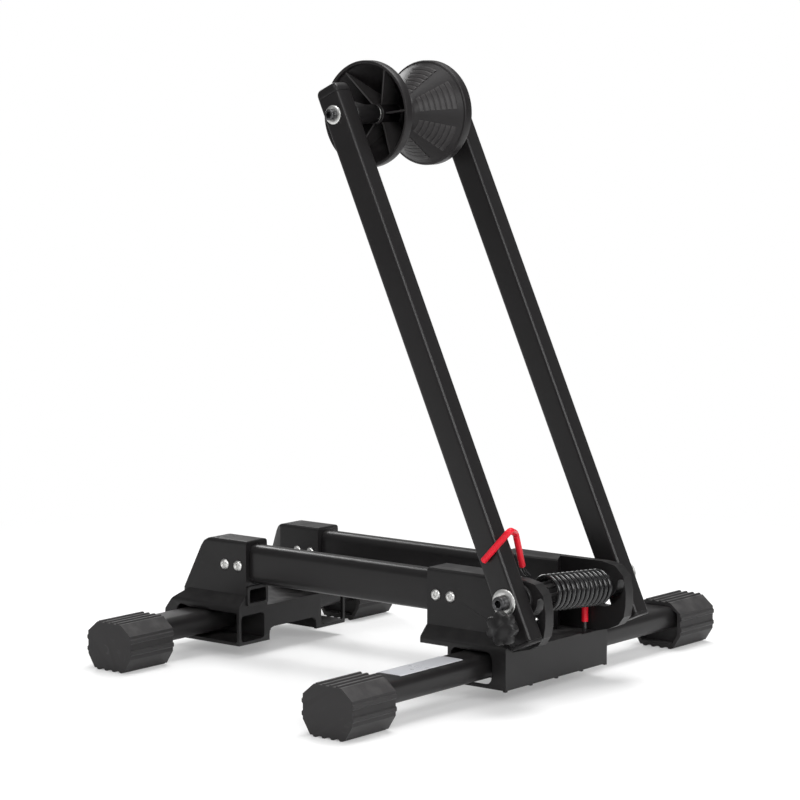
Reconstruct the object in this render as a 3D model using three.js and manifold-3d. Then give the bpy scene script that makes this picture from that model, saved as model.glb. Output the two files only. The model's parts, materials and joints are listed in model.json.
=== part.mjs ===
// A push-in floor stand for one bicycle, in millimetres, +Z up.
// The wheel rolls in from the rear (-X), drops between the two rails, and two sprung arms press a
// V-shaped pair of rollers on the tyre. The pieces are set out from the floor midway between the
// cross tubes, and the whole is then moved so that its outline is centred on the origin.
// "near" is the -Y side and "far" is the +Y side.
import * as THREE from "three";
import { mergeVertices } from "three/addons/utils/BufferGeometryUtils.js";
import Module from "manifold-3d";

const wasm = await Module();
wasm.setup();

/* ---------------- driving dimensions ---------------- */

const RUNNING_GAP = 0.3; // between pieces that touch or slide on the real stand
const SEAM = 0.1; // between a part and the face it is pressed on
const HOLE_PLAY = 0.6; // a hole's diameter over its bolt's

// Cross tubes, flat oval, and the rubber feet on their ends
const TUBE_SPACING = 330;
const TUBE_WIDTH = 38;
const TUBE_HEIGHT = 22;
const TUBE_CORNER = 9;
const TUBE_WALL = 2;
const TUBE_CENTRE_Z = 30;
const FRONT_HALF_WIDTH = 272; // centre line to the outer face of a front foot
const REAR_HALF_WIDTH = 192;
const FOOT_LENGTH = 57;
const FOOT_HEIGHT = 46;
const FOOT_WIDTH = 56;
const FOOT_BOTTOM_FLAT = 39;
const FOOT_TOP_FLAT = 31;
const FOOT_SIDE_LOW = 13.5; // height where the lower slope ends
const FOOT_SIDE_HIGH = 35; // height where the upper slope starts
const FOOT_END_WALL = 4;
const FOOT_RIM = 5; // shell left round the recess at the inner end
const FOOT_RECESS = 9;
const FOOT_RIDGES = 4;
const FOOT_RIDGE_HEIGHT = 1.3;

// Rails that the tyre drops between
const RAIL_WIDTH = 20;
const RAIL_HEIGHT = 37;
const RAIL_CORNER = 8.5;
const RAIL_WALL = 2;
const RAIL_HALF_LENGTH = 158;
const WHEEL_GAP = 84; // clear width between the rails
const RAIL_BOTTOM_Z = 69;

// Moulded blocks that join rails and cross tubes
const BLOCK_BOTTOM_Z = 12;
const BLOCK_HALF_WIDTH = 77;
const BLOCK_INNER_X = 108;
const BLOCK_OUTER_X = 203;
const BLOCK_WALL = 3;
const DECK_Z = 46;
const SKIRT_LOW_Z = 43.5;
const SKIRT_EDGE_Z = 49;
const SKIRT_TOP_Z = 59;
const RIB_PITCH = BLOCK_HALF_WIDTH / 2;
const RIB_FOOT = 1.2; // how far a rib's foot reaches below the wall
const TOWER_WALL = 5; // either side of a rail
const TOWER_ROOF = 3.9; // over a rail
const TOWER_CORNER = 4;
const SIDE_OPENING_PLAY = 4; // round the cross tube where it leaves a block
const LUG_WALL = 12;
const LUG_FRONT_X = 238;
const LUG_TOP_CORNER = 26;
const LUG_BOTTOM_CORNER = 24;
const LUG_BOTTOM_Z = 54;
const BAY_X = 166; // where the spring bay between the lugs starts
const BAY_SLOPE = 10; // how much further forward it starts at the towers' inner faces
const REAR_SLOPE_TOP_X = 160; // the rear towers slope down from here
const REAR_SLOPE_FOOT_X = 187;
const ENTRY_FLARE = 14; // taken off the rear towers' inner corners where the wheel rolls in
const ARCH_HALF_WIDTH = 34; // middle arch in the rear block's front wall
const ARCH_RISE = 12;
const ARCH_DEPTH = 30;
const SOCKET_REACH = 1.5; // rim round the pocket under each rail on the rear block's front face
const SOCKET_BOTTOM_Z = 48;
const SOCKET_TOP_Z = 67;

// Arms and their pivot
const PIVOT_X = 211.7;
const PIVOT_Z = 93.4;
const ARM_LEAN = 24.6; // degrees back from upright at rest
const ARM_REACH = 457.5; // pivot to roller axle
const ARM_DEPTH = 25;
const ARM_WIDTH = 20;
const ARM_CORNER = 4;
const ARM_WALL = 2;
const ARM_TAIL = 38; // tube below the pivot
const ARM_TIP = 18.3; // tube above the roller axle
const ARM_OUTER_Y = 90.8;
const CAP_DOME = 9;
const PLUG_FLANGE = 3;
const PUSH_RANGE = 50; // degrees forward against the spring
const FOLD_RANGE = 62; // degrees back on to the rails
const PIVOT_AXLE_D = 12;
const PIVOT_BOLT = { thread: 8, head: 13, height: 8, key: 6 };
const PIVOT_WASHER_D = 24;
const ROLLER_AXLE_D = 10;
const ROLLER_BOLT = { thread: 6, head: 10, height: 6, key: 5 };
const ROLLER_WASHER_D = 17;
const WASHER_THICKNESS = 1.6;
const BUSH_FLANGE_D = 26;
const BUSH_WALL = 2.6;

// Rollers
const ROLLER_R = 48;
const RIM_INNER_Y = 37.8;
const RIM_WIDTH = 10;
const RIM_WALL = 2.8;
const HUB_NOSE_R = 16;
const HUB_R = 9.5;
const HUB_INNER_Y = 1;
const HUB_OUTER_Y = 33;
const CONE_WALL = 3.6; // measured across the stand
const CONE_STEPS = 6;
const ROLLER_RIBS = 6;
const RIB_WALL = 1.6;
const HUB_RING_D = 16;
const SPACER_ARM_D = 23;
const SPACER_HUB_D = 17;

// Torsion spring and the sleeves on its legs
const WIRE_D = 4;
const COIL_MEAN_R = 14.8;
const COIL_TURNS = 12;
const COIL_NEAR_Y = -34;
const COIL_FAR_Y = 50.5;
const STEPS_PER_TURN = 8;
const WIRE_SIDES = 5;
const COIL_SAG = 6.2; // the far turn hangs down on the axle
const LEG_STUB = 8;
const SLEEVE_D = 5.8;
const SLEEVE_BORE = 4.5;
const CORE_D = 21;
const CORE_LENGTH = 24;
const CORE_RIBS = 8;
const HOOK_BEND = 6; // how far a bend starts from its corner
const HOOK_INNER = [18.4, 54.3]; // inner bend, in front of and up the arm from the pivot
const HOOK_OUTER = [34, 55]; // outer bend
const HOOK_TAIL = [-5.1, 39.6];
const HOOK_KNEE = [-4.9, -44, 24.8]; // where the leg leans out, with its y

// Star knob on the near arm
const KNOB_DROP = 21; // down the arm from the pivot
const STUD_D = 6;
const KNOB_D = 31;
const KNOB_LOBES = 7;
const KNOB_LOBE_DEPTH = 3;
const KNOB_THICKNESS = 9;
const KNOB_DOME = 3.5;
const KNOB_STEM_D = 13;
const KNOB_STEM = 10;

// Rivets, screws and the blank label
const RIVET_SHANK_D = 4.8;
const RIVET_HEAD_D = 10.6;
const RIVET_HEAD = 2.2;
const RIVET_TAIL_D = 8;
const RIVET_TAIL = 1.6;
const RIVET_DIMPLE = 0.7;
const RIVET_PITCH = 16.5;
const RIVET_FROM_END = 10;
const RIVET_Z = 86.2;
const SCREW_D = 6;
const SCREW_HEAD_D = 12;
const SCREW_HEAD = 2.6;
const SCREW_Y = 20;
const LABEL_LENGTH = 86;
const LABEL_WIDTH = 27;
const LABEL_THICKNESS = 0.5;
const LABEL_OFFSET_X = -1.5;
const LABEL_FROM_END = 82;
const LABEL_OUTER_Y = LABEL_FROM_END - FRONT_HALF_WIDTH;

// Threads
const AXLE_THREAD_DEPTH = 24;
const SCREW_GRIP = 18;

/* ---------------- sizes worked out from them ---------------- */

const TUBE_X = TUBE_SPACING / 2;
const TUBE_TOP_Z = TUBE_CENTRE_Z + TUBE_HEIGHT / 2;
const TUBE_BOTTOM_Z = TUBE_CENTRE_Z - TUBE_HEIGHT / 2;
const RAIL_Y = WHEEL_GAP / 2 + RAIL_WIDTH / 2;
const RAIL_Z = RAIL_BOTTOM_Z + RAIL_HEIGHT / 2;
const TOWER_IN_Y = RAIL_Y - RAIL_WIDTH / 2 - TOWER_WALL;
const TOWER_OUT_Y = RAIL_Y + RAIL_WIDTH / 2 + TOWER_WALL;
const TOWER_TOP_Z = RAIL_BOTTOM_Z + RAIL_HEIGHT + RUNNING_GAP + TOWER_ROOF;
const LUG_IN_Y = TOWER_OUT_Y - LUG_WALL;
const BOX_INNER_X = TUBE_X - TUBE_WIDTH / 2 - SIDE_OPENING_PLAY - BLOCK_WALL;
const ARM_INNER_Y = ARM_OUTER_Y - ARM_WIDTH;
const ARM_Y = (ARM_OUTER_Y + ARM_INNER_Y) / 2;
const LEAN = THREE.MathUtils.degToRad(ARM_LEAN);
const TAIL_SWING_R = Math.hypot(ARM_TAIL + PLUG_FLANGE, ARM_DEPTH / 2) + 2;
const BUSH_BORE = PIVOT_AXLE_D + 0.8;
const BUSH_BODY_D = BUSH_BORE + 2 * BUSH_WALL;
const STUD_REST = -90 + ARM_LEAN; // direction of the stud from the pivot, in degrees from +X
const TAIL_TIP_X =
  PIVOT_X + Math.cos(LEAN) * (ARM_DEPTH / 2) + Math.sin(LEAN) * (ARM_TAIL + SEAM + PLUG_FLANGE);
const MIDDLE_X = (TAIL_TIP_X - BLOCK_OUTER_X) / 2; // middle of the outline seen from above
const SIDES = [
  ["near", -1],
  ["far", 1],
];

/* ---------------- solids ---------------- */

// A closed geometry as a solid that can be cut and joined.
function solid(geometry) {
  const bare = geometry.index ? geometry.toNonIndexed() : geometry.clone();
  bare.deleteAttribute("normal");
  bare.deleteAttribute("uv");
  const merged = mergeVertices(bare, 1e-4);
  return new wasm.Manifold(
    new wasm.Mesh({
      numProp: 3,
      vertProperties: new Float32Array(merged.attributes.position.array),
      triVerts: new Uint32Array(merged.index.array),
    }),
  );
}

function geometryOf(shape) {
  const mesh = shape.getMesh();
  const geometry = new THREE.BufferGeometry();
  geometry.setAttribute(
    "position",
    new THREE.BufferAttribute(new Float32Array(mesh.vertProperties), 3),
  );
  geometry.setIndex(new THREE.BufferAttribute(new Uint32Array(mesh.triVerts), 1));
  geometry.computeVertexNormals();
  return geometry;
}

const join = (...solids) => solids.flat().reduce((sum, s) => sum.add(s));
const cut = (body, ...tools) => tools.flat().reduce((left, t) => left.subtract(t), body);

// A closed outline from corners [u, v] or [u, v, fillet].
function outline(corners) {
  const shape = new THREE.Shape();
  const count = corners.length;
  corners.forEach(([u, v, fillet = 0], i) => {
    const here = new THREE.Vector2(u, v);
    const [pu, pv] = corners[(i + count - 1) % count];
    const [nu, nv] = corners[(i + 1) % count];
    const back = new THREE.Vector2(pu, pv).sub(here);
    const on = new THREE.Vector2(nu, nv).sub(here);
    const reach = Math.min(fillet, back.length() / 2, on.length() / 2);
    const from = here.clone().addScaledVector(back.normalize(), reach);
    const to = here.clone().addScaledVector(on.normalize(), reach);
    if (i === 0) shape.moveTo(from.x, from.y);
    else shape.lineTo(from.x, from.y);
    if (reach > 0) shape.quadraticCurveTo(u, v, to.x, to.y);
  });
  shape.closePath();
  return shape;
}

function roundedRect(width, height, corner, centreU = 0, centreV = 0) {
  const u = width / 2;
  const v = height / 2;
  return outline([
    [centreU - u, centreV - v, corner],
    [centreU + u, centreV - v, corner],
    [centreU + u, centreV + v, corner],
    [centreU - u, centreV + v, corner],
  ]);
}

const AXES = {
  x: [new THREE.Vector3(0, 1, 0), new THREE.Vector3(0, 0, 1), new THREE.Vector3(1, 0, 0)],
  y: [new THREE.Vector3(1, 0, 0), new THREE.Vector3(0, 0, 1), new THREE.Vector3(0, -1, 0)],
  z: [new THREE.Vector3(1, 0, 0), new THREE.Vector3(0, 1, 0), new THREE.Vector3(0, 0, 1)],
};

// An outline drawn square to an axis and drawn out along it: (y, z) along x, (x, z) along y.
function prism(axis, shape, from, to, curveSegments = 3) {
  const low = Math.min(from, to);
  const high = Math.max(from, to);
  const geometry = new THREE.ExtrudeGeometry(shape, {
    depth: high - low,
    bevelEnabled: false,
    curveSegments,
  });
  geometry.applyMatrix4(new THREE.Matrix4().makeBasis(...AXES[axis]));
  const shift = { x: [low, 0, 0], y: [0, high, 0], z: [0, 0, low] }[axis];
  return solid(geometry.translate(...shift));
}

function box(x0, x1, y0, y1, z0, z1) {
  const geometry = new THREE.BoxGeometry(Math.abs(x1 - x0), Math.abs(y1 - y0), Math.abs(z1 - z0));
  return solid(geometry.translate((x0 + x1) / 2, (y0 + y1) / 2, (z0 + z1) / 2));
}

function disc(radius) {
  const shape = new THREE.Shape();
  shape.absarc(0, 0, radius, 0, 2 * Math.PI);
  return shape;
}

function rod(axis, diameter, from, to, at = [0, 0, 0], sides = 18) {
  const shape = disc(diameter / 2);
  return prism(axis, shape, from, to, sides / 2).translate(at);
}

function ring(outer, bore, y0, y1, at = [0, 0, 0], sides = 16) {
  const slack = 1;
  return cut(
    rod("y", outer, y0, y1, at, sides),
    rod("y", bore, Math.min(y0, y1) - slack, Math.max(y0, y1) + slack, at, sides),
  );
}

// A profile of [radius, along] points turned about the Y axis.
function turned(profile, segments) {
  const points = profile.map(([r, along]) => new THREE.Vector2(r, along));
  const shape = solid(new THREE.LatheGeometry([...points, points[0].clone()], segments));
  return shape.volume() < 0 ? turned([...profile].reverse(), segments) : shape;
}

// One unbroken round wire through a list of points.
function wire(points, diameter, sides) {
  const radius = diameter / 2;
  const last = points.length - 1;
  const tangents = points.map((p, i) =>
    points[Math.min(i + 1, last)].clone().sub(points[Math.max(i - 1, 0)]).normalize(),
  );
  let across = new THREE.Vector3(0, 1, 0);
  if (Math.abs(across.dot(tangents[0])) > 0.9) across = new THREE.Vector3(1, 0, 0);
  const positions = [];
  const rings = points.map((p, i) => {
    const t = tangents[i];
    across = across.clone().addScaledVector(t, -across.dot(t)).normalize();
    const up = t.clone().cross(across);
    return Array.from({ length: sides }, (_, k) => {
      const angle = (2 * Math.PI * k) / sides;
      return p
        .clone()
        .addScaledVector(across, radius * Math.cos(angle))
        .addScaledVector(up, radius * Math.sin(angle));
    });
  });
  const face = (...corners) => corners.forEach((c) => positions.push(c.x, c.y, c.z));
  for (let i = 0; i < last; i++)
    for (let k = 0; k < sides; k++) {
      const next = (k + 1) % sides;
      face(rings[i][k], rings[i][next], rings[i + 1][next]);
      face(rings[i][k], rings[i + 1][next], rings[i + 1][k]);
    }
  for (let k = 1; k < sides - 1; k++) {
    face(rings[0][0], rings[0][k + 1], rings[0][k]);
    face(rings[last][0], rings[last][k], rings[last][k + 1]);
  }
  const geometry = new THREE.BufferGeometry();
  geometry.setAttribute("position", new THREE.Float32BufferAttribute(positions, 3));
  return solid(geometry);
}

// Points along straight stretches whose bends are rounded.
function bentPath(corners, bend) {
  const points = [corners[0]];
  for (let i = 1; i < corners.length - 1; i++) {
    const back = corners[i - 1].clone().sub(corners[i]);
    const on = corners[i + 1].clone().sub(corners[i]);
    const reach = Math.min(bend, 0.45 * back.length(), 0.45 * on.length());
    back.setLength(reach);
    on.setLength(reach);
    const curve = new THREE.QuadraticBezierCurve3(
      corners[i].clone().add(back),
      corners[i],
      corners[i].clone().add(on),
    );
    points.push(...curve.getPoints(4));
  }
  points.push(corners[corners.length - 1]);
  return points;
}

/* ---------------- materials ---------------- */

const finish = (color, roughness, metalness) =>
  new THREE.MeshStandardMaterial({ color, roughness, metalness });
const COATED_STEEL = finish(0x1b1b1c, 0.38, 0.35);
const MOULDED_BLACK = finish(0x202021, 0.62, 0);
const RUBBER = finish(0x2b2b2b, 0.85, 0);
const ROLLER_PLASTIC = finish(0x232324, 0.5, 0);
const ZINC = finish(0xc9c9c6, 0.3, 0.95);
const BLACK_OXIDE = finish(0x18181a, 0.42, 0.8);
const SPRING_BLACK = finish(0x141415, 0.35, 0.6);
const RED_SLEEVE = finish(0xc8142c, 0.4, 0);
const LABEL_FILM = finish(0xd9d9d9, 0.45, 0);

const part = new THREE.Group();
const rack = new THREE.Group();
rack.position.x = -MIDDLE_X;
part.add(rack);
const arms = new THREE.Group();
arms.position.set(PIVOT_X, 0, PIVOT_Z);
arms.rotation.y = -LEAN;
rack.add(arms);

function add(parent, name, shape, material, position = [0, 0, 0]) {
  const mesh = new THREE.Mesh(geometryOf(shape), material);
  mesh.name = name;
  mesh.position.set(...position);
  parent.add(mesh);
}

/* ---------------- cross tubes and feet ---------------- */

function tubeSection(play, x) {
  const corner = TUBE_CORNER + Math.min(play, 0);
  return roundedRect(TUBE_WIDTH + 2 * play, TUBE_HEIGHT + 2 * play, corner, x, TUBE_CENTRE_Z);
}

// The front tube's section grown by a little all round.
function outsideSection(growth) {
  return roundedRect(
    TUBE_WIDTH + 2 * growth,
    TUBE_HEIGHT + 2 * growth,
    TUBE_CORNER + growth,
    TUBE_X,
    TUBE_CENTRE_Z,
  );
}

function crossTube(x, halfWidth) {
  const end = halfWidth - FOOT_END_WALL - RUNNING_GAP;
  const screwHoles = SIDES.map(([, side]) =>
    rod("z", SCREW_D + HOLE_PLAY, 0, TUBE_TOP_Z + 1, [x, side * SCREW_Y, 0], 12),
  );
  return cut(
    prism("y", tubeSection(0, x), -end, end),
    prism("y", tubeSection(-TUBE_WALL, x), -end - 1, end + 1),
    screwHoles,
  );
}

// A straight side of the foot's outline that carries ridges, as points from one corner to the next.
function ridged([u0, v0], [u1, v1], ridges, height) {
  const along = new THREE.Vector2(u1 - u0, v1 - v0);
  const outward = new THREE.Vector2(along.y, -along.x).normalize().multiplyScalar(height);
  const points = [[u0, v0]];
  for (let i = 0; i < ridges; i++)
    for (const [share, rise] of [
      [0.3, 0],
      [0.42, 1],
      [0.68, 1],
      [0.8, 0],
    ]) {
      const t = (i + share) / ridges;
      points.push([u0 + along.x * t + outward.x * rise, v0 + along.y * t + outward.y * rise]);
    }
  return points;
}

function footCorners(inset) {
  const bottom = FOOT_BOTTOM_FLAT / 2 - inset / 2;
  const middle = FOOT_WIDTH / 2 - inset;
  const top = FOOT_TOP_FLAT / 2 - inset / 2;
  return [
    [-bottom, inset],
    [bottom, inset],
    [middle, FOOT_SIDE_LOW],
    [middle, FOOT_SIDE_HIGH],
    [top, FOOT_HEIGHT - inset],
    [-top, FOOT_HEIGHT - inset],
    [-middle, FOOT_SIDE_HIGH],
    [-middle, FOOT_SIDE_LOW],
  ];
}

function footOutline(x) {
  const lift = FOOT_RIDGE_HEIGHT; // the ridges' tips are the foot's real outer size
  const corners = footCorners(lift);
  const ridges = [FOOT_RIDGES, 0, 2, 0, FOOT_RIDGES, 0, 2, 0];
  const points = corners.flatMap((corner, i) =>
    ridged(corner, corners[(i + 1) % corners.length], ridges[i], lift),
  );
  return outline(points.map(([u, v]) => [u + x, v]));
}

function foot(x, halfWidth, side) {
  const inner = side * (halfWidth - FOOT_LENGTH);
  const outer = side * halfWidth;
  const recess = outline(footCorners(FOOT_RIM).map(([u, v]) => [u + x, v]));
  return cut(
    prism("y", footOutline(x), inner, outer),
    prism("y", recess, inner - side, inner + side * FOOT_RECESS),
    prism("y", tubeSection(RUNNING_GAP, x), inner - side, outer - side * FOOT_END_WALL),
  );
}

/* ---------------- blocks ---------------- */

const towerSection = (side) =>
  outline([
    [side * TOWER_IN_Y, DECK_Z - 1],
    [side * TOWER_IN_Y, TOWER_TOP_Z, TOWER_CORNER],
    [side * TOWER_OUT_Y, TOWER_TOP_Z, TOWER_CORNER],
    [side * TOWER_OUT_Y, DECK_Z - 1],
  ]);

const railSection = (play, side) =>
  roundedRect(
    RAIL_WIDTH + 2 * play,
    RAIL_HEIGHT + 2 * play,
    RAIL_CORNER + Math.min(play, 0),
    side * RAIL_Y,
    RAIL_Z,
  );

// Deck with sloping skirts, before it is hollowed.
function deckBody(direction) {
  const section = outline([
    [-BLOCK_HALF_WIDTH, SKIRT_LOW_Z],
    [-BLOCK_HALF_WIDTH, SKIRT_EDGE_Z, 2],
    [-TOWER_OUT_Y, SKIRT_TOP_Z],
    [TOWER_OUT_Y, SKIRT_TOP_Z],
    [BLOCK_HALF_WIDTH, SKIRT_EDGE_Z, 2],
    [BLOCK_HALF_WIDTH, SKIRT_LOW_Z],
  ]);
  const [inner, outer] = [direction * BLOCK_INNER_X, direction * BLOCK_OUTER_X];
  const body = prism("x", section, inner, outer);
  return body.subtract(channel(inner - direction, outer + direction));
}

// The way through between the towers, over the deck.
const channel = (x0, x1) => box(x0, x1, -TOWER_IN_Y, TOWER_IN_Y, DECK_Z, TOWER_TOP_Z);

const RIB_ROWS = [-2, -1, 0, 1, 2];

// Hollows under the deck, between the ribs that carry the cross tube.
function hollows(x0, x1, z0, z1) {
  const half = BLOCK_WALL / 2;
  return RIB_ROWS.slice(1).map((row, i) => {
    const from = i === 0 ? -BLOCK_HALF_WIDTH + BLOCK_WALL : (row - 1) * RIB_PITCH + half;
    const to = row === 2 ? BLOCK_HALF_WIDTH - BLOCK_WALL : row * RIB_PITCH - half;
    return box(x0, x1, from, to, z0, z1);
  });
}

function ribFeet() {
  const half = BLOCK_WALL / 2;
  const x = BLOCK_OUTER_X - half;
  return RIB_ROWS.map((row) => {
    const y = row * RIB_PITCH - (Math.abs(row) === 2 ? Math.sign(row) * half : 0);
    return box(x - half, x + half, y - half, y + half, BLOCK_BOTTOM_Z - RIB_FOOT, BLOCK_BOTTOM_Z + 1);
  });
}

function tubePassage(direction) {
  const x = direction * TUBE_X;
  const opening = tubeSection(SIDE_OPENING_PLAY, x);
  const sides = SIDES.map(([, side]) =>
    prism(
      "y",
      opening,
      side * (BLOCK_HALF_WIDTH - BLOCK_WALL - 0.5),
      side * (BLOCK_HALF_WIDTH + 1),
    ),
  );
  const fit = prism("y", tubeSection(RUNNING_GAP, x), -BLOCK_HALF_WIDTH, BLOCK_HALF_WIDTH);
  return [fit, ...sides];
}

function screwBosses(direction) {
  return SIDES.map(([, side]) =>
    rod(
      "z",
      SCREW_HEAD_D + 2,
      TUBE_TOP_Z + RUNNING_GAP,
      DECK_Z,
      [direction * TUBE_X, side * SCREW_Y, 0],
      16,
    ),
  );
}

function screwHoles(direction) {
  return SIDES.map(([, side]) =>
    rod("z", SCREW_D + HOLE_PLAY, 0, DECK_Z - 1, [direction * TUBE_X, side * SCREW_Y, 0], 12),
  );
}

const rivetX = (i) => BLOCK_INNER_X + RIVET_FROM_END + i * RIVET_PITCH;

// The sleeve round one rail, to the side profile of its block.
function tower(side, profile, x0, x1) {
  const sleeve = prism("x", towerSection(side), x0, x1);
  const cheek = prism("y", profile, side * (TOWER_IN_Y - 1), side * (TOWER_OUT_Y + 1));
  return sleeve.intersect(cheek);
}

function railPocket(direction, side) {
  const inner = direction * (BLOCK_INNER_X - SOCKET_REACH - 1);
  const end = direction * (RAIL_HALF_LENGTH + RUNNING_GAP);
  return prism("x", railSection(RUNNING_GAP, side), inner, end);
}

// The core under a rail's pocket, left open below.
function towerCore(direction, side) {
  const wall = BLOCK_WALL + 0.5;
  const x0 = direction * (BLOCK_INNER_X + BLOCK_WALL);
  const x1 = direction * (RAIL_HALF_LENGTH - BLOCK_WALL);
  const roof = RAIL_BOTTOM_Z - RUNNING_GAP - BLOCK_WALL;
  const [y0, y1] = [side * (TOWER_IN_Y + wall), side * (TOWER_OUT_Y - wall)];
  return box(x0, x1, y0, y1, DECK_Z - BLOCK_WALL - 1, roof);
}

function rivetHoles(direction) {
  return SIDES.flatMap(([, side]) =>
    [0, 1].map((i) =>
      rod(
        "y",
        RIVET_SHANK_D + HOLE_PLAY,
        side * (TOWER_IN_Y - 1),
        side * (TOWER_OUT_Y + 1),
        [direction * rivetX(i), 0, RIVET_Z],
        10,
      ),
    ),
  );
}

// The curved slot that the knob's stud runs in, about the pivot.
function studSlot() {
  const toRadians = THREE.MathUtils.degToRad;
  const half = (STUD_D + 1) / 2;
  const from = toRadians(STUD_REST - PUSH_RANGE - 1);
  const to = toRadians(STUD_REST + FOLD_RANGE + 1);
  const shape = new THREE.Shape();
  const endCentre = (angle) => [
    PIVOT_X + KNOB_DROP * Math.cos(angle),
    PIVOT_Z + KNOB_DROP * Math.sin(angle),
  ];
  shape.absarc(PIVOT_X, PIVOT_Z, KNOB_DROP + half, from, to, false);
  shape.absarc(...endCentre(to), half, to, to + Math.PI, false);
  shape.absarc(PIVOT_X, PIVOT_Z, KNOB_DROP - half, to, from, true);
  shape.absarc(...endCentre(from), half, from + Math.PI, from + 2 * Math.PI, false);
  return prism("y", shape, -TOWER_OUT_Y - 1, TOWER_OUT_Y + 1, 5);
}

function frontProfile() {
  return outline([
    [BLOCK_INNER_X, DECK_Z - 1],
    [BLOCK_INNER_X, TOWER_TOP_Z, 2],
    [LUG_FRONT_X, TOWER_TOP_Z, LUG_TOP_CORNER],
    [LUG_FRONT_X, LUG_BOTTOM_Z, LUG_BOTTOM_CORNER],
    [BLOCK_OUTER_X, DECK_Z - 1],
  ]);
}

// Spring bay between the lugs; its rear wall slopes in plan.
function springBay() {
  const bay = outline([
    [BAY_X, -LUG_IN_Y],
    [BAY_X + BAY_SLOPE, -TOWER_IN_Y],
    [BAY_X + BAY_SLOPE, TOWER_IN_Y],
    [BAY_X, LUG_IN_Y],
    [LUG_FRONT_X + 1, LUG_IN_Y],
    [LUG_FRONT_X + 1, -LUG_IN_Y],
  ]);
  return prism("z", bay, DECK_Z, TOWER_TOP_Z + 1);
}

function frontBlock() {
  const profile = frontProfile();
  const towers = SIDES.map(([, side]) => tower(side, profile, BLOCK_INNER_X, LUG_FRONT_X + 1));
  const lower = box(
    BOX_INNER_X,
    BLOCK_OUTER_X,
    -BLOCK_HALF_WIDTH,
    BLOCK_HALF_WIDTH,
    BLOCK_BOTTOM_Z,
    SKIRT_LOW_Z + 1,
  );
  const under = DECK_Z - BLOCK_WALL;
  const hollow = [
    hollows(BOX_INNER_X + BLOCK_WALL, BLOCK_OUTER_X - BLOCK_WALL, 0, under),
    hollows(BLOCK_INNER_X - 1, BOX_INNER_X, 0, under),
    SIDES.flatMap(([, side]) => [railPocket(1, side), towerCore(1, side)]),
  ].flat();
  // The arm's tail swings past the skirt, so a round scoop clears it.
  const scoops = SIDES.map(([, side]) =>
    rod(
      "y",
      2 * TAIL_SWING_R,
      side * (ARM_INNER_Y - 2),
      side * (BLOCK_HALF_WIDTH + 1),
      [PIVOT_X, 0, PIVOT_Z],
      48,
    ),
  );
  const bushHoles = rod(
    "y",
    BUSH_BODY_D + HOLE_PLAY,
    -TOWER_OUT_Y - 1,
    TOWER_OUT_Y + 1,
    [PIVOT_X, 0, PIVOT_Z],
    24,
  );
  const legHole = rod(
    "z",
    WIRE_D + HOLE_PLAY,
    DECK_Z - BLOCK_WALL - 1,
    DECK_Z + 1,
    [PIVOT_X - COIL_MEAN_R, COIL_FAR_Y, 0],
    12,
  );
  const hollowed = cut(join(deckBody(1), lower, towers), hollow, springBay());
  return cut(
    join(hollowed, screwBosses(1), ribFeet()),
    tubePassage(1),
    screwHoles(1),
    rivetHoles(1),
    scoops,
    bushHoles,
    studSlot(),
    legHole,
  );
}

// Side profile of the rear towers, which slope down to the wheel's way in.
function rearProfile() {
  return outline([
    [-BLOCK_INNER_X, DECK_Z - 1],
    [-BLOCK_INNER_X, TOWER_TOP_Z, 2],
    [-REAR_SLOPE_TOP_X, TOWER_TOP_Z, 10],
    [-REAR_SLOPE_FOOT_X, SKIRT_TOP_Z],
    [-REAR_SLOPE_FOOT_X, DECK_Z - 1],
  ]);
}

// Side profile of the rear block's box, with its rear edge sloped.
function rearBoxProfile(inset) {
  const back = -BLOCK_OUTER_X + inset;
  const front = -BLOCK_INNER_X - inset;
  return outline([
    [front, BLOCK_BOTTOM_Z + inset],
    [front, SKIRT_TOP_Z + 1 - inset * 6],
    [-REAR_SLOPE_FOOT_X + 8 + inset, SKIRT_TOP_Z + 1 - inset * 6],
    [-BLOCK_OUTER_X + 9 + inset, SKIRT_EDGE_Z - inset, 2],
    [back, SKIRT_LOW_Z - 6 - inset, 2],
    [back, BLOCK_BOTTOM_Z + inset],
  ]);
}

// A flared rim under each rail on the front face, round a pocket.
function socket(side) {
  const z = (SOCKET_BOTTOM_Z + SOCKET_TOP_Z) / 2;
  const height = SOCKET_TOP_Z - SOCKET_BOTTOM_Z;
  const width = RAIL_WIDTH + 2 * TOWER_WALL - 1;
  const rim = roundedRect(width, height, 3, side * RAIL_Y, z);
  return prism("x", rim, -BLOCK_INNER_X - 1, -BLOCK_INNER_X + SOCKET_REACH);
}

function socketPocket(side) {
  const z = (SOCKET_BOTTOM_Z + SOCKET_TOP_Z) / 2;
  const height = SOCKET_TOP_Z - SOCKET_BOTTOM_Z - 2 * BLOCK_WALL;
  const width = RAIL_WIDTH + 2 * TOWER_WALL - 1 - 2 * BLOCK_WALL;
  const bore = roundedRect(width, height, 2, side * RAIL_Y, z);
  return prism("x", bore, -BLOCK_INNER_X - 16, -BLOCK_INNER_X + SOCKET_REACH + 1);
}

// Vertical chamfer on a rear tower's inner corner.
function entryFlare(side) {
  const tip = -REAR_SLOPE_TOP_X + 6;
  const corner = outline([
    [tip, side * (TOWER_IN_Y - 1)],
    [-BLOCK_OUTER_X - 1, side * (TOWER_IN_Y - 1)],
    [-BLOCK_OUTER_X - 1, side * (TOWER_IN_Y + ENTRY_FLARE + 8)],
  ]);
  return prism("z", corner, DECK_Z, TOWER_TOP_Z + 1);
}

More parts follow.
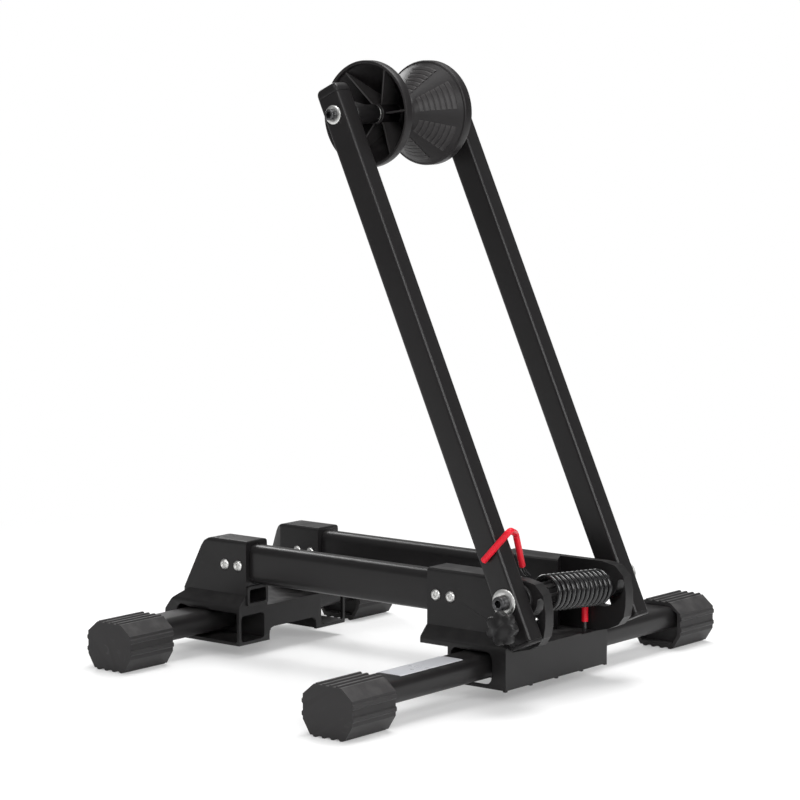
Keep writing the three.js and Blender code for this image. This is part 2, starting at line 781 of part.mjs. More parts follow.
// The arch in the middle of the front wall, and the openings either side of it.
function frontWindows() {
  const [x0, x1] = [-BLOCK_INNER_X - BLOCK_WALL - 1, -BLOCK_INNER_X + 1];
  const top = BLOCK_BOTTOM_Z + ARCH_RISE;
  const arch = outline([
    [-ARCH_HALF_WIDTH, BLOCK_BOTTOM_Z - 1],
    [-ARCH_HALF_WIDTH, top, 8],
    [ARCH_HALF_WIDTH, top, 8],
    [ARCH_HALF_WIDTH, BLOCK_BOTTOM_Z - 1],
  ]);
  const half = (BLOCK_HALF_WIDTH - RIB_PITCH) / 2 - BLOCK_WALL;
  const height = DECK_Z - BLOCK_BOTTOM_Z - 3 * BLOCK_WALL;
  const z = BLOCK_BOTTOM_Z + BLOCK_WALL + height / 2;
  const bay = SIDES.map(([, side]) =>
    roundedRect(2 * half, height, 4, side * (BLOCK_HALF_WIDTH - BLOCK_WALL - half), z),
  );
  const windows = bay.map((shape) => prism("x", shape, x0, x1));
  return [prism("x", arch, -BLOCK_INNER_X - ARCH_DEPTH, x1), ...windows];
}

// The outer bays have floors; the two middle ones are open below.
function rearHollows() {
  const [x0, x1] = [-BLOCK_INNER_X - BLOCK_WALL, -BLOCK_OUTER_X + BLOCK_WALL];
  const under = DECK_Z - BLOCK_WALL;
  const room = prism(
    "y",
    rearBoxProfile(BLOCK_WALL),
    -BLOCK_HALF_WIDTH + BLOCK_WALL,
    BLOCK_HALF_WIDTH - BLOCK_WALL,
  );
  const bays = join(hollows(x0, x1, 0, under)).intersect(room);
  const middle = hollows(x0, x1, 0, BLOCK_BOTTOM_Z + BLOCK_WALL + 1).slice(1, 3);
  return [bays, ...middle];
}

// The near and far side walls are open round and ahead of the cross tube.
function sideMouths() {
  const [x0, x1] = [
    -TUBE_X - TUBE_WIDTH / 2 - SIDE_OPENING_PLAY,
    -BLOCK_INNER_X - BLOCK_WALL,
  ];
  const z0 = BLOCK_BOTTOM_Z + BLOCK_WALL;
  const z1 = DECK_Z - BLOCK_WALL;
  const mouth = outline([
    [x0, z0, 6],
    [x0, z1, 6],
    [x1, z1, 2],
    [x1, z0, 2],
  ]);
  return SIDES.map(([, side]) =>
    prism(
      "y",
      mouth,
      side * (BLOCK_HALF_WIDTH - BLOCK_WALL - 0.5),
      side * (BLOCK_HALF_WIDTH + 1),
    ),
  );
}

function rearBlock() {
  const towers = SIDES.map(([, side]) =>
    tower(side, rearProfile(), -BLOCK_INNER_X, -REAR_SLOPE_FOOT_X - 1),
  );
  const lower = box(
    -BLOCK_INNER_X,
    -BLOCK_OUTER_X,
    -BLOCK_HALF_WIDTH,
    BLOCK_HALF_WIDTH,
    BLOCK_BOTTOM_Z,
    SKIRT_LOW_Z + 1,
  );
  const outer = prism("y", rearBoxProfile(0), -BLOCK_HALF_WIDTH - 1, BLOCK_HALF_WIDTH + 1);
  const box0 = join(deckBody(-1), lower).intersect(outer);
  const solids = join(box0, towers, SIDES.map(([, side]) => socket(side)));
  const tools = SIDES.flatMap(([, side]) => [
    railPocket(-1, side),
    towerCore(-1, side),
    socketPocket(side),
    entryFlare(side),
  ]);
  return cut(
    join(cut(solids, rearHollows(), tools), screwBosses(-1)),
    tubePassage(-1),
    screwHoles(-1),
    rivetHoles(-1),
    sideMouths(),
    frontWindows(),
  );
}

/* ---------------- rails and fasteners of the base ---------------- */

function rail(side) {
  return cut(
    prism("x", railSection(0, side), -RAIL_HALF_LENGTH, RAIL_HALF_LENGTH),
    prism("x", railSection(-RAIL_WALL, side), -RAIL_HALF_LENGTH - 1, RAIL_HALF_LENGTH + 1),
    rivetHoles(1),
    rivetHoles(-1),
  );
}

// A domed rivet with a dimple, its head on a tower's outer face and its tail on the inner one.
function rivet(side) {
  const [shank, head, tail] = [RIVET_SHANK_D / 2, RIVET_HEAD_D / 2, RIVET_TAIL_D / 2];
  const outer = TOWER_OUT_Y + SEAM / 2;
  const inner = TOWER_IN_Y - SEAM / 2;
  const profile = [
    [0, inner - RIVET_TAIL],
    [tail - 0.8, inner - RIVET_TAIL],
    [tail, inner],
    [shank, inner],
    [shank, outer],
    [head, outer],
    [head * 0.72, outer + RIVET_HEAD],
    [head * 0.4, outer + RIVET_HEAD],
    [head * 0.3, outer + RIVET_DIMPLE],
    [0, outer + RIVET_DIMPLE],
  ];
  const shape = turnedOnAxis(profile, 10);
  return side > 0 ? shape : shape.rotate([0, 0, 180]);
}

// A turned profile that starts and ends on the axis.
function turnedOnAxis(profile, segments) {
  const points = profile.map(([r, along]) => new THREE.Vector2(r, along));
  const shape = solid(new THREE.LatheGeometry(points, segments));
  return shape.volume() < 0 ? turnedOnAxis([...profile].reverse(), segments) : shape;
}

function tubeScrew() {
  const headTop = TUBE_BOTTOM_Z - 0.2;
  const tip = DECK_Z - 1.6;
  const shape = join(
    rod("z", SCREW_HEAD_D, headTop - SCREW_HEAD, headTop, [0, 0, 0], 18),
    rod("z", SCREW_D, headTop - 0.5, tip, [0, 0, 0], 14),
  );
  return cut(shape, rod("z", 4.6, headTop - SCREW_HEAD - 1, headTop - 1, [0, 0, 0], 6));
}

// Film that wraps over the tube's rounded top.
function label() {
  const [y0, y1] = [LABEL_OUTER_Y, LABEL_OUTER_Y + LABEL_LENGTH];
  const gap = 0.04;
  const skin = cut(
    prism("y", outsideSection(gap + LABEL_THICKNESS), y0, y1),
    prism("y", outsideSection(gap), y0 - 1, y1 + 1),
  );
  const [x0, x1] = [-1, 1].map((end) => TUBE_X + LABEL_OFFSET_X + (end * LABEL_WIDTH) / 2);
  return skin.intersect(box(x0, x1, y0 - 1, y1 + 1, TUBE_CENTRE_Z + 2, TUBE_TOP_Z + 2));
}

/* ---------------- arms ---------------- */

const armSection = (inset) =>
  roundedRect(ARM_DEPTH - 2 * inset, ARM_WIDTH - 2 * inset, ARM_CORNER - inset);

function arm(side) {
  const top = ARM_REACH + ARM_TIP;
  const through = (diameter, z) =>
    rod("y", diameter, -ARM_WIDTH, ARM_WIDTH, [0, 0, z], 14);
  const holes = [
    through(PIVOT_BOLT.thread + HOLE_PLAY, 0),
    through(ROLLER_BOLT.thread + HOLE_PLAY, ARM_REACH),
  ];
  if (side < 0) holes.push(through(STUD_D + HOLE_PLAY, -KNOB_DROP));
  return cut(
    prism("z", armSection(0), -ARM_TAIL, top),
    prism("z", armSection(ARM_WALL), -ARM_TAIL - 1, top + 1),
    holes,
  );
}

function insertFor(from, to) {
  return prism("z", armSection(ARM_WALL + RUNNING_GAP), from, to);
}

function armCap() {
  const dome = solid(new THREE.SphereGeometry(1, 16, 8)).scale([
    ARM_DEPTH * 0.72,
    ARM_WIDTH * 0.78,
    CAP_DOME,
  ]);
  const crown = prism("z", armSection(0), 0, CAP_DOME + 1).intersect(dome);
  return join(crown, insertFor(-9, 0.5));
}

function armPlug() {
  return join(prism("z", armSection(0), -PLUG_FLANGE, 0), insertFor(-0.5, 9));
}

// A socket head screw along Y, its head's underside at y = 0 and its shank towards +Y.
function socketScrew({ thread, head, height, key }, length) {
  const hex = rod("y", key / Math.cos(Math.PI / 6), -height - 1, -height * 0.45, [0, 0, 0], 6);
  const body = join(
    rod("y", head, -height, 0, [0, 0, 0], 20),
    rod("y", thread, -0.5, length, [0, 0, 0], 12),
  );
  return cut(body, hex);
}

const facing = (shape, side) => (side < 0 ? shape : shape.rotate([0, 0, 180]));

// An axle between the arms, bored at both ends for its screws.
function axle(diameter, bolt) {
  const end = ARM_INNER_Y - RUNNING_GAP;
  const bore = (side) => rod("y", bolt.thread + HOLE_PLAY, side * (end - AXLE_THREAD_DEPTH), side * (end + 1));
  return cut(rod("y", diameter, -end, end), bore(-1), bore(1));
}

function addArm(name, side) {
  const y = side * ARM_Y;
  add(arms, `arm_${name}`, arm(side), COATED_STEEL, [0, y, 0]);
  const end = ARM_REACH + ARM_TIP + SEAM;
  add(arms, `arm_cap_${name}`, armCap(), MOULDED_BLACK, [0, y, end]);
  add(arms, `arm_plug_${name}`, armPlug(), MOULDED_BLACK, [0, y, -ARM_TAIL - SEAM]);
}

function addBolt(kind, name, side, bolt, washerD, z) {
  const shank = ARM_WIDTH + WASHER_THICKNESS + SCREW_GRIP;
  const face = ARM_OUTER_Y + SEAM;
  const seat = face + WASHER_THICKNESS + SEAM;
  const washer = ring(washerD, bolt.thread + HOLE_PLAY, face, face + WASHER_THICKNESS);
  add(arms, `${kind}_washer_${name}`, facing(washer, -side), ZINC, [0, 0, z]);
  const screw = facing(socketScrew(bolt, shank), side);
  add(arms, `${kind}_bolt_${name}`, screw, BLACK_OXIDE, [0, side * seat, z]);
}

// Flanged bush in a lug, which fills the gap to the arm.
function pivotBush(side) {
  const [inner, face] = [LUG_IN_Y + RUNNING_GAP, TOWER_OUT_Y + RUNNING_GAP / 2];
  const end = ARM_INNER_Y - RUNNING_GAP;
  const body = join(
    rod("y", BUSH_BODY_D, side * inner, side * end, [0, 0, 0], 24),
    rod("y", BUSH_FLANGE_D, side * face, side * end, [0, 0, 0], 24),
  );
  return cut(body, rod("y", BUSH_BORE, -ARM_OUTER_Y, ARM_OUTER_Y, [0, 0, 0], 24));
}

/* ---------------- rollers ---------------- */

// The stepped cone that the tyre runs on, from the nose to the rim.
function coneSteps() {
  const [r0, y0] = [HUB_NOSE_R + 2, HUB_INNER_Y + 4];
  const [r1, y1] = [ROLLER_R - 2.5, RIM_INNER_Y - 0.5];
  const points = [[r0, y0]];
  for (let i = 0; i < CONE_STEPS; i++) {
    const share = (i + 1) / CONE_STEPS;
    const r = r0 + (r1 - r0) * share;
    const y = y0 + (y1 - y0) * share;
    points.push([r - 0.9, y - 1.4]);
    points.push([r, y]);
  }
  return points;
}

function roller(side) {
  const bore = ROLLER_AXLE_D / 2 + 0.4;
  const rimInner = ROLLER_R - RIM_WALL;
  const rimOuterY = RIM_INNER_Y + RIM_WIDTH;
  const backHub = HUB_INNER_Y + 4 + CONE_WALL;
  const profile = [
    [bore, HUB_INNER_Y],
    [HUB_NOSE_R, HUB_INNER_Y],
    ...coneSteps(),
    [ROLLER_R, RIM_INNER_Y + 1.4],
    [ROLLER_R, rimOuterY],
    [rimInner, rimOuterY],
    [rimInner, RIM_INNER_Y + CONE_WALL],
    [HUB_NOSE_R + 2, backHub],
    [HUB_R, backHub - 2],
    [HUB_R, HUB_OUTER_Y],
    [bore, HUB_OUTER_Y],
  ];
  const rib = outline([
    [HUB_R - 1, HUB_INNER_Y + 3],
    [HUB_NOSE_R + 2, HUB_INNER_Y + 5.5],
    [rimInner + 1, RIM_INNER_Y + 1.5],
    [rimInner + 1, RIM_INNER_Y + 5],
    [HUB_R - 1, HUB_OUTER_Y - 4],
  ]);
  const plate = prism("z", rib, -RIB_WALL / 2, RIB_WALL / 2);
  const ribs = Array.from({ length: ROLLER_RIBS }, (_, i) =>
    plate.rotate([0, (360 / ROLLER_RIBS) * i, 0]),
  );
  return facing(join(turned(profile, 28), ribs), -side);
}

function rollerSpacer() {
  const bore = ROLLER_AXLE_D / 2 + RUNNING_GAP;
  const hubEnd = HUB_OUTER_Y + 2 * RUNNING_GAP + WASHER_THICKNESS + RUNNING_GAP;
  const armEnd = ARM_INNER_Y - RUNNING_GAP;
  return turned(
    [
      [bore, hubEnd],
      [SPACER_HUB_D / 2, hubEnd],
      [SPACER_HUB_D / 2, hubEnd + 12],
      [SPACER_ARM_D / 2, armEnd - 6],
      [SPACER_ARM_D / 2, armEnd],
      [bore, armEnd],
    ],
    20,
  );
}

function addRollerSide(name, side) {
  const at = [0, 0, ARM_REACH];
  add(arms, `roller_${name}`, roller(side), ROLLER_PLASTIC, at);
  const ringFrom = HUB_OUTER_Y + RUNNING_GAP;
  const hubRing = ring(
    HUB_RING_D,
    ROLLER_AXLE_D + 2 * RUNNING_GAP,
    ringFrom,
    ringFrom + WASHER_THICKNESS,
  );
  add(arms, `roller_ring_${name}`, facing(hubRing, -side), ZINC, at);
  add(arms, `roller_spacer_${name}`, facing(rollerSpacer(), -side), MOULDED_BLACK, at);
}

/* ---------------- torsion spring ---------------- */

// The coil's wire: up from the near end, round about the pivot, and down at the far end.
function springPath() {
  const steps = COIL_TURNS * STEPS_PER_TURN;
  const points = [new THREE.Vector3(-COIL_MEAN_R, COIL_NEAR_Y, LEG_STUB)];
  for (let i = 0; i <= steps; i++) {
    const angle = Math.PI + (2 * Math.PI * i) / STEPS_PER_TURN;
    const y = COIL_NEAR_Y + ((COIL_FAR_Y - COIL_NEAR_Y) * i) / steps;
    const z = COIL_MEAN_R * Math.sin(angle) - (COIL_SAG * i) / steps;
    points.push(new THREE.Vector3(COIL_MEAN_R * Math.cos(angle), y, z));
  }
  const foot = DECK_Z - BLOCK_WALL + 0.8 - PIVOT_Z;
  points.push(new THREE.Vector3(-COIL_MEAN_R, COIL_FAR_Y, -COIL_SAG - LEG_STUB));
  points.push(new THREE.Vector3(-COIL_MEAN_R, COIL_FAR_Y, foot));
  return points;
}

// The least distance between turns, from the path's points one turn or more apart.
function leastCoilGap(points) {
  let least = Infinity;
  for (let i = 0; i < points.length; i++)
    for (let j = i + STEPS_PER_TURN - 1; j < points.length; j++)
      least = Math.min(least, points[i].distanceTo(points[j]) - WIRE_D);
  return least;
}

// A point of the stand's frame, given from the pivot, in the leaning arms' frame.
function inArmFrame(x, y, z) {
  return new THREE.Vector3(
    Math.cos(LEAN) * x + Math.sin(LEAN) * z,
    y,
    -Math.sin(LEAN) * x + Math.cos(LEAN) * z,
  );
}

// The near leg leaves the coil, passes inside the arm, crosses its front and ends on its outer face.
function hookPath() {
  const inside = -(ARM_INNER_Y - SLEEVE_D / 2 - 2 * RUNNING_GAP);
  const outside = -(ARM_OUTER_Y + SLEEVE_D / 2 + RUNNING_GAP);
  return [
    inArmFrame(-COIL_MEAN_R, COIL_NEAR_Y, LEG_STUB + RUNNING_GAP),
    inArmFrame(-COIL_MEAN_R, COIL_NEAR_Y, LEG_STUB + WIRE_D + 1),
    new THREE.Vector3(...HOOK_KNEE),
    new THREE.Vector3(HOOK_INNER[0], inside, HOOK_INNER[1]),
    new THREE.Vector3(HOOK_OUTER[0], outside, HOOK_OUTER[1]),
    new THREE.Vector3(HOOK_TAIL[0], outside, HOOK_TAIL[1]),
  ];
}

function hookWire() {
  return wire(bentPath(hookPath(), HOOK_BEND), WIRE_D, 8);
}

// Soft sleeve over the hook, from its knee to its end.
function hookSleeve() {
  const corners = hookPath().slice(2);
  const tail = corners.length - 1;
  const shorter = corners.map((c, i) => (i === tail ? c.clone().lerp(corners[i - 1], 0.03) : c));
  shorter[0] = corners[0].clone().lerp(corners[1], 0.12);
  return cut(
    wire(bentPath(shorter, HOOK_BEND), SLEEVE_D, 8),
    wire(bentPath(corners, HOOK_BEND), SLEEVE_BORE, 8),
  );
}

function baseLegSleeve() {
  const bottom = DECK_Z + 8 - PIVOT_Z;
  const top = -COIL_SAG - LEG_STUB - 2;
  const at = [-COIL_MEAN_R, COIL_FAR_Y, 0];
  return cut(
    rod("z", SLEEVE_D, bottom, top, at, 12),
    rod("z", SLEEVE_BORE, bottom - 1, top + 1, at, 12),
  );
}

// Ribbed core that holds the near turns round the axle.
function springCore() {
  const [y0, y1] = [COIL_NEAR_Y - WIRE_D / 2, COIL_NEAR_Y - WIRE_D / 2 + CORE_LENGTH];
  const tube = rod("y", BUSH_BODY_D - 1.6, y0, y1, [0, 0, 0], 20);
  const rib = box(-CORE_D / 2, CORE_D / 2, y0, y1, -0.9, 0.9);
  const ribs = Array.from({ length: CORE_RIBS / 2 }, (_, i) =>
    rib.rotate([0, (360 / CORE_RIBS) * (i + 0.5), 0]),
  );
  return cut(join(tube, ribs), rod("y", BUSH_BORE, y0 - 1, y1 + 1, [0, 0, 0], 20));
}

/* ---------------- knob ---------------- */

function knobOutline() {
  const shape = new THREE.Shape();
  const count = KNOB_LOBES * 5;
  for (let i = 0; i <= count; i++) {
    const angle = (2 * Math.PI * i) / count;
    const wave = 0.5 + 0.5 * Math.cos(KNOB_LOBES * angle);
    const radius = KNOB_D / 2 - KNOB_LOBE_DEPTH * (1 - wave ** 0.7);
    const point = [radius * Math.cos(angle), radius * Math.sin(angle)];
    if (i === 0) shape.moveTo(...point);
    else if (i < count) shape.lineTo(...point);
  }
  shape.closePath();
  return shape;
}

const KNOB_FACE = ARM_OUTER_Y + 0.5;

function knobHead() {
  const under = -KNOB_FACE - KNOB_STEM;
  const front = under - KNOB_THICKNESS;
  const domeR = KNOB_D * 0.3;
  const dome = solid(new THREE.SphereGeometry(1, 16, 8))
    .scale([domeR, KNOB_DOME, domeR])
    .translate([0, front, 0]);
  const body = join(
    prism("y", knobOutline(), under, front),
    rod("y", KNOB_STEM_D, -KNOB_FACE, under - 1),
    dome,
  );
  return cut(body, rod("y", STUD_D + HOLE_PLAY, -KNOB_FACE + 1, front + 3, [0, 0, 0], 16));
}

function knobStud() {
  const outer = -KNOB_FACE - KNOB_STEM - KNOB_THICKNESS + 3.4;
  return rod("y", STUD_D, outer, -(LUG_IN_Y + 2), [0, 0, 0], 16);
}

/* ---------------- the whole stand ---------------- */

add(rack, "front_block", frontBlock(), MOULDED_BLACK);
add(rack, "rear_block", rearBlock(), MOULDED_BLACK);
add(rack, "front_tube", crossTube(TUBE_X, FRONT_HALF_WIDTH), COATED_STEEL);
add(rack, "rear_tube", crossTube(-TUBE_X, REAR_HALF_WIDTH), COATED_STEEL);
add(rack, "label_plate", label(), LABEL_FILM);

for (const [name, side] of SIDES) {
  add(rack, `rail_${name}`, rail(side), COATED_STEEL);
  add(rack, `foot_front_${name}`, foot(TUBE_X, FRONT_HALF_WIDTH, side), RUBBER);
  add(rack, `foot_rear_${name}`, foot(-TUBE_X, REAR_HALF_WIDTH, side), RUBBER);
  for (const i of [0, 1]) {
    const front = [rivetX(i), 0, RIVET_Z];
    const rear = [-rivetX(i), 0, RIVET_Z];
    add(rack, `rivet_front_${name}_${i + 1}`, rivet(side), ZINC, front);
    add(rack, `rivet_rear_${name}_${i + 1}`, rivet(side), ZINC, rear);
  }
  add(rack, `screw_front_${name}`, tubeScrew(), ZINC, [TUBE_X, side * SCREW_Y, 0]);
  add(rack, `screw_rear_${name}`, tubeScrew(), ZINC, [-TUBE_X, side * SCREW_Y, 0]);
  add(rack, `pivot_bush_${name}`, pivotBush(side), MOULDED_BLACK, [PIVOT_X, 0, PIVOT_Z]);
  addArm(name, side);
  addBolt("pivot", name, side, PIVOT_BOLT, PIVOT_WASHER_D, 0);
  addBolt("roller", name, side, ROLLER_BOLT, ROLLER_WASHER_D, ARM_REACH);
  addRollerSide(name, side);
}

const path = springPath();
console.log(`least gap between the spring's turns: ${leastCoilGap(path).toFixed(2)} mm`);
add(rack, "torsion_spring", wire(path, WIRE_D, WIRE_SIDES), SPRING_BLACK, [PIVOT_X, 0, PIVOT_Z]);
add(rack, "spring_core", springCore(), MOULDED_BLACK, [PIVOT_X, 0, PIVOT_Z]);
add(rack, "base_leg_sleeve", baseLegSleeve(), RED_SLEEVE, [PIVOT_X, 0, PIVOT_Z]);

add(arms, "pivot_axle", axle(PIVOT_AXLE_D, PIVOT_BOLT), ZINC);
add(arms, "roller_axle", axle(ROLLER_AXLE_D, ROLLER_BOLT), ZINC, [0, 0, ARM_REACH]);
add(arms, "spring_hook", hookWire(), SPRING_BLACK);
add(arms, "hook_sleeve", hookSleeve(), RED_SLEEVE);
add(arms, "knob_stud", knobStud(), ZINC, [0, 0, -KNOB_DROP]);
add(arms, "knob_head", knobHead(), MOULDED_BLACK, [0, 0, -KNOB_DROP]);

export default part;
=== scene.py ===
"""A push-in floor stand for one bicycle: two rails between moulded blocks, ridged rubber feet, and a
sprung pair of leaning arms that press two cone rollers on the tyre.
Lengths are in metres, +Z is up, "near" is the -Y side and "far" is the +Y side."""

import json
import math

import bmesh
import bpy
from bpy.props import FloatProperty, FloatVectorProperty, IntProperty, PointerProperty
from mathutils import Matrix, Vector


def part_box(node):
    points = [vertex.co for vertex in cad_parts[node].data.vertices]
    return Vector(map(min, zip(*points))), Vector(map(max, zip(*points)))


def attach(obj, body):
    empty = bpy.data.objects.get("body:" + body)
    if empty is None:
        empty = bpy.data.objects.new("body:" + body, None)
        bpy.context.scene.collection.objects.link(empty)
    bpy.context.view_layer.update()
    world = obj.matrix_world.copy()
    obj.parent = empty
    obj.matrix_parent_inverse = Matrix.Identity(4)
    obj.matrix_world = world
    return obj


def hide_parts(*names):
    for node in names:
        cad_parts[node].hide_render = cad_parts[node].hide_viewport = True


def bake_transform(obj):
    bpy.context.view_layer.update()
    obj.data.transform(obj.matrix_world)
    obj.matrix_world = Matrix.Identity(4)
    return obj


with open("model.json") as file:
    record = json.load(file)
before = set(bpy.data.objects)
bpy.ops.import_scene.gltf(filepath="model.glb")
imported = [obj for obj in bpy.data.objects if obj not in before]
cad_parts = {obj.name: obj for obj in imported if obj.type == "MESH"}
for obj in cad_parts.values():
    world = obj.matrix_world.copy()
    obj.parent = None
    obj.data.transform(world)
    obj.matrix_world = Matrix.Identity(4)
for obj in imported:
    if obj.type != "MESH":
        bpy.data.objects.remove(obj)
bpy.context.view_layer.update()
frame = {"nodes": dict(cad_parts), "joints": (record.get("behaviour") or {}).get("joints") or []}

bl_info = {
    "name": "Push-in bicycle floor stand",
    "version": (1, 0, 0),
    "blender": (4, 5, 0),
    "location": "3D View > Sidebar > Floor stand",
    "description": "Builds the visible pieces of a sprung bicycle floor stand round its solid model",
    "category": "Object",
}

MM = 0.001
SIDES = (("near", -1), ("far", 1))


# ---------------- places taken from the solid model ----------------


def joint_place(name):
    return Vector(next(j["pos_m"] for j in frame["joints"] if j["name"] == name))


PIVOT = joint_place("arm_push")
ROLLER_AXIS = joint_place("roller_near_spin")
KNOB_AXIS = joint_place("knob_turn")
ARM_REACH = (ROLLER_AXIS - PIVOT).length
ARM_LEAN = math.atan2(PIVOT.x - ROLLER_AXIS.x, ROLLER_AXIS.z - PIVOT.z)
ARM_FRAME = Matrix.Translation(PIVOT) @ Matrix.Rotation(-ARM_LEAN, 4, "Y")
AT_PIVOT = Matrix.Translation(PIVOT)
AT_ROLLERS = Matrix.Translation(ROLLER_AXIS)
AT_KNOB = Matrix.Translation(KNOB_AXIS)


def middle(node):
    low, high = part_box(node)
    return (low + high) / 2


def extent(node):
    low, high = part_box(node)
    return high - low


# ---------------- settings ----------------


def length(name, description, value):
    """A length that a user can change, in metres."""
    return FloatProperty(
        name=name, description=description, default=value, subtype="DISTANCE", unit="LENGTH",
        precision=5,
    )


class StandSizes(bpy.types.PropertyGroup):
    """Sizes that only the visible pieces have"""

    edge_radius: FloatProperty(
        name="Moulded edge", description="Rounding on the edges of the mouldings",
        default=0.9 * MM, min=0.0, subtype="DISTANCE", unit="LENGTH", precision=5,
    )
    foot_edge_radius: FloatProperty(
        name="Foot edge", description="Rounding on the ridges and ends of the feet",
        default=0.55 * MM, min=0.0, subtype="DISTANCE", unit="LENGTH", precision=5,
    )
    wire_diameter: FloatProperty(
        name="Spring wire", description="Diameter of the torsion spring's wire",
        default=4 * MM, min=1 * MM, subtype="DISTANCE", unit="LENGTH", precision=5,
    )
    sleeve_diameter: FloatProperty(
        name="Sleeve", description="Outer diameter of the soft sleeves on the spring's legs",
        default=5.8 * MM, min=4.5 * MM, subtype="DISTANCE", unit="LENGTH", precision=5,
    )
    coil_turns: IntProperty(
        name="Turns", description="Turns of the torsion spring", default=12, min=2, max=40,
    )
    roller_sectors: IntProperty(
        name="Roller sectors", description="Stepped sectors on each roller's cone, one to each rib behind",
        default=6, min=2, max=12,
    )
    knob_lobes: IntProperty(
        name="Knob lobes", description="Lobes of the star knob", default=7, min=3, max=12,
    )


class StandColours(bpy.types.PropertyGroup):
    """Colours of the finishes"""

    coat: FloatVectorProperty(
        name="Powder coat", description="Satin black coat on the steel tubes",
        subtype="COLOR", size=3, min=0.0, max=1.0, default=(0.0062, 0.0055, 0.0058),
    )
    moulding: FloatVectorProperty(
        name="Mouldings", description="Black plastic of the blocks, caps and knob",
        subtype="COLOR", size=3, min=0.0, max=1.0, default=(0.0082, 0.0077, 0.008),
    )
    rubber: FloatVectorProperty(
        name="Feet", description="Black rubber of the feet",
        subtype="COLOR", size=3, min=0.0, max=1.0, default=(0.0165, 0.0155, 0.016),
    )
    roller: FloatVectorProperty(
        name="Rollers", description="Dark grey plastic of the rollers",
        subtype="COLOR", size=3, min=0.0, max=1.0, default=(0.0085, 0.0074, 0.0078),
    )
    sleeve: FloatVectorProperty(
        name="Sleeves", description="Red tubing on the spring's legs",
        subtype="COLOR", size=3, min=0.0, max=1.0, default=(0.62, 0.008, 0.022),
    )
    film: FloatVectorProperty(
        name="Label film", description="Pale film on the front cross tube",
        subtype="COLOR", size=3, min=0.0, max=1.0, default=(0.62, 0.63, 0.66),
    )


def sizes():
    return bpy.context.scene.stand_sizes


def colours():
    return bpy.context.scene.stand_colours


# ---------------- mesh making ----------------


def new_object(name, mesh):
    obj = bpy.data.objects.new(name, mesh)
    bpy.context.scene.collection.objects.link(obj)
    return obj


def smooth(mesh, angle=32.0):
    """Smooth shading that keeps edges sharper than the angle, in degrees."""
    mesh.polygons.foreach_set("use_smooth", [True] * len(mesh.polygons))
    mesh.set_sharp_from_angle(angle=math.radians(angle))
    mesh.update()


def loft(name, rings, ends=(True, True), loop=False, angle=32.0):
    """A skin through rings of equally many points, closed by flat ends or into a loop."""
    bm = bmesh.new()
    grid = [[bm.verts.new(point) for point in ring] for ring in rings]
    count = len(grid[0])
    pairs = list(zip(grid, grid[1:]))
    if loop:
        pairs.append((grid[-1], grid[0]))
    for here, there in pairs:
        for i in range(count):
            j = (i + 1) % count
            bm.faces.new((here[i], here[j], there[j], there[i]))
    if not loop:
        if ends[0]:
            bm.faces.new(list(reversed(grid[0])))
        if ends[1]:
            bm.faces.new(grid[-1])
    bmesh.ops.recalc_face_normals(bm, faces=bm.faces)
    mesh = bpy.data.meshes.new(name)
    bm.to_mesh(mesh)
    bm.free()
    smooth(mesh, angle)
    return new_object(name, mesh)


def place(obj, matrix):
    obj.data.transform(matrix)
    obj.data.update()
    return obj


def joined(name, pieces):
    """Several mesh objects as one."""
    bm = bmesh.new()
    for piece in pieces:
        bm.from_mesh(piece.data)
    mesh = bpy.data.meshes.new(name)
    bm.to_mesh(mesh)
    bm.free()
    for piece in pieces:
        old = piece.data
        bpy.data.objects.remove(piece)
        bpy.data.meshes.remove(old)
    return new_object(name, mesh)


def circle(radius, y, count=64):
    return [
        Vector((radius * math.cos(a), y, radius * math.sin(a)))
        for a in (2 * math.pi * i / count for i in range(count))
    ]


def hexagon(across, y, count=48):
    """A hexagon across Y with as many points as the circle it is lofted to."""
    ring = []
    for i in range(count):
        a = 2 * math.pi * i / count
        off = (a % (math.pi / 3)) - math.pi / 6
        r = across / 2 / math.cos(off)
        ring.append(Vector((r * math.cos(a), y, r * math.sin(a))))
    return ring


def turned(name, profile, count=64, loop=False, angle=32.0):
    """A shape turned about Y from (radius, y) points."""
    return loft(name, [circle(r, y, count) for r, y in profile], loop=loop, angle=angle)


def section(width, height, corner, steps=8):
    """Rounded rectangle as (u, v) points, with the corners drawn as parabolas."""
    points = []
    for su, sv in ((1, -1), (1, 1), (-1, 1), (-1, -1)):
        tip = Vector((su * width / 2, sv * height / 2))
        along_v = Vector((0, -sv * corner))
        along_u = Vector((-su * corner, 0))
        first, last = (along_u, along_v) if su * sv < 0 else (along_v, along_u)
        for i in range(steps + 1):
            t = i / steps
            points.append(tip + first * (1 - t) ** 2 + last * t**2)
    return points


def box_tube(name, width, height, corner, wall, start, end, spot):
    """A hollow tube with a rounded section; spot turns (u, v, along) into a place."""
    outer = section(width, height, corner)
    inner = section(width - 2 * wall, height - 2 * wall, max(corner - wall, 0.2 * MM))
    lip = 0.3 * MM
    trimmed = section(width - 2 * lip, height - 2 * lip, corner - lip)
    rings = [
        [spot(u, v, at) for u, v in points]
        for points, at in (
            (trimmed, start), (outer, start + lip), (outer, end - lip), (trimmed, end),
            (inner, end), (inner, start),
        )
    ]
    return loft(name, rings, loop=True, angle=40.0)


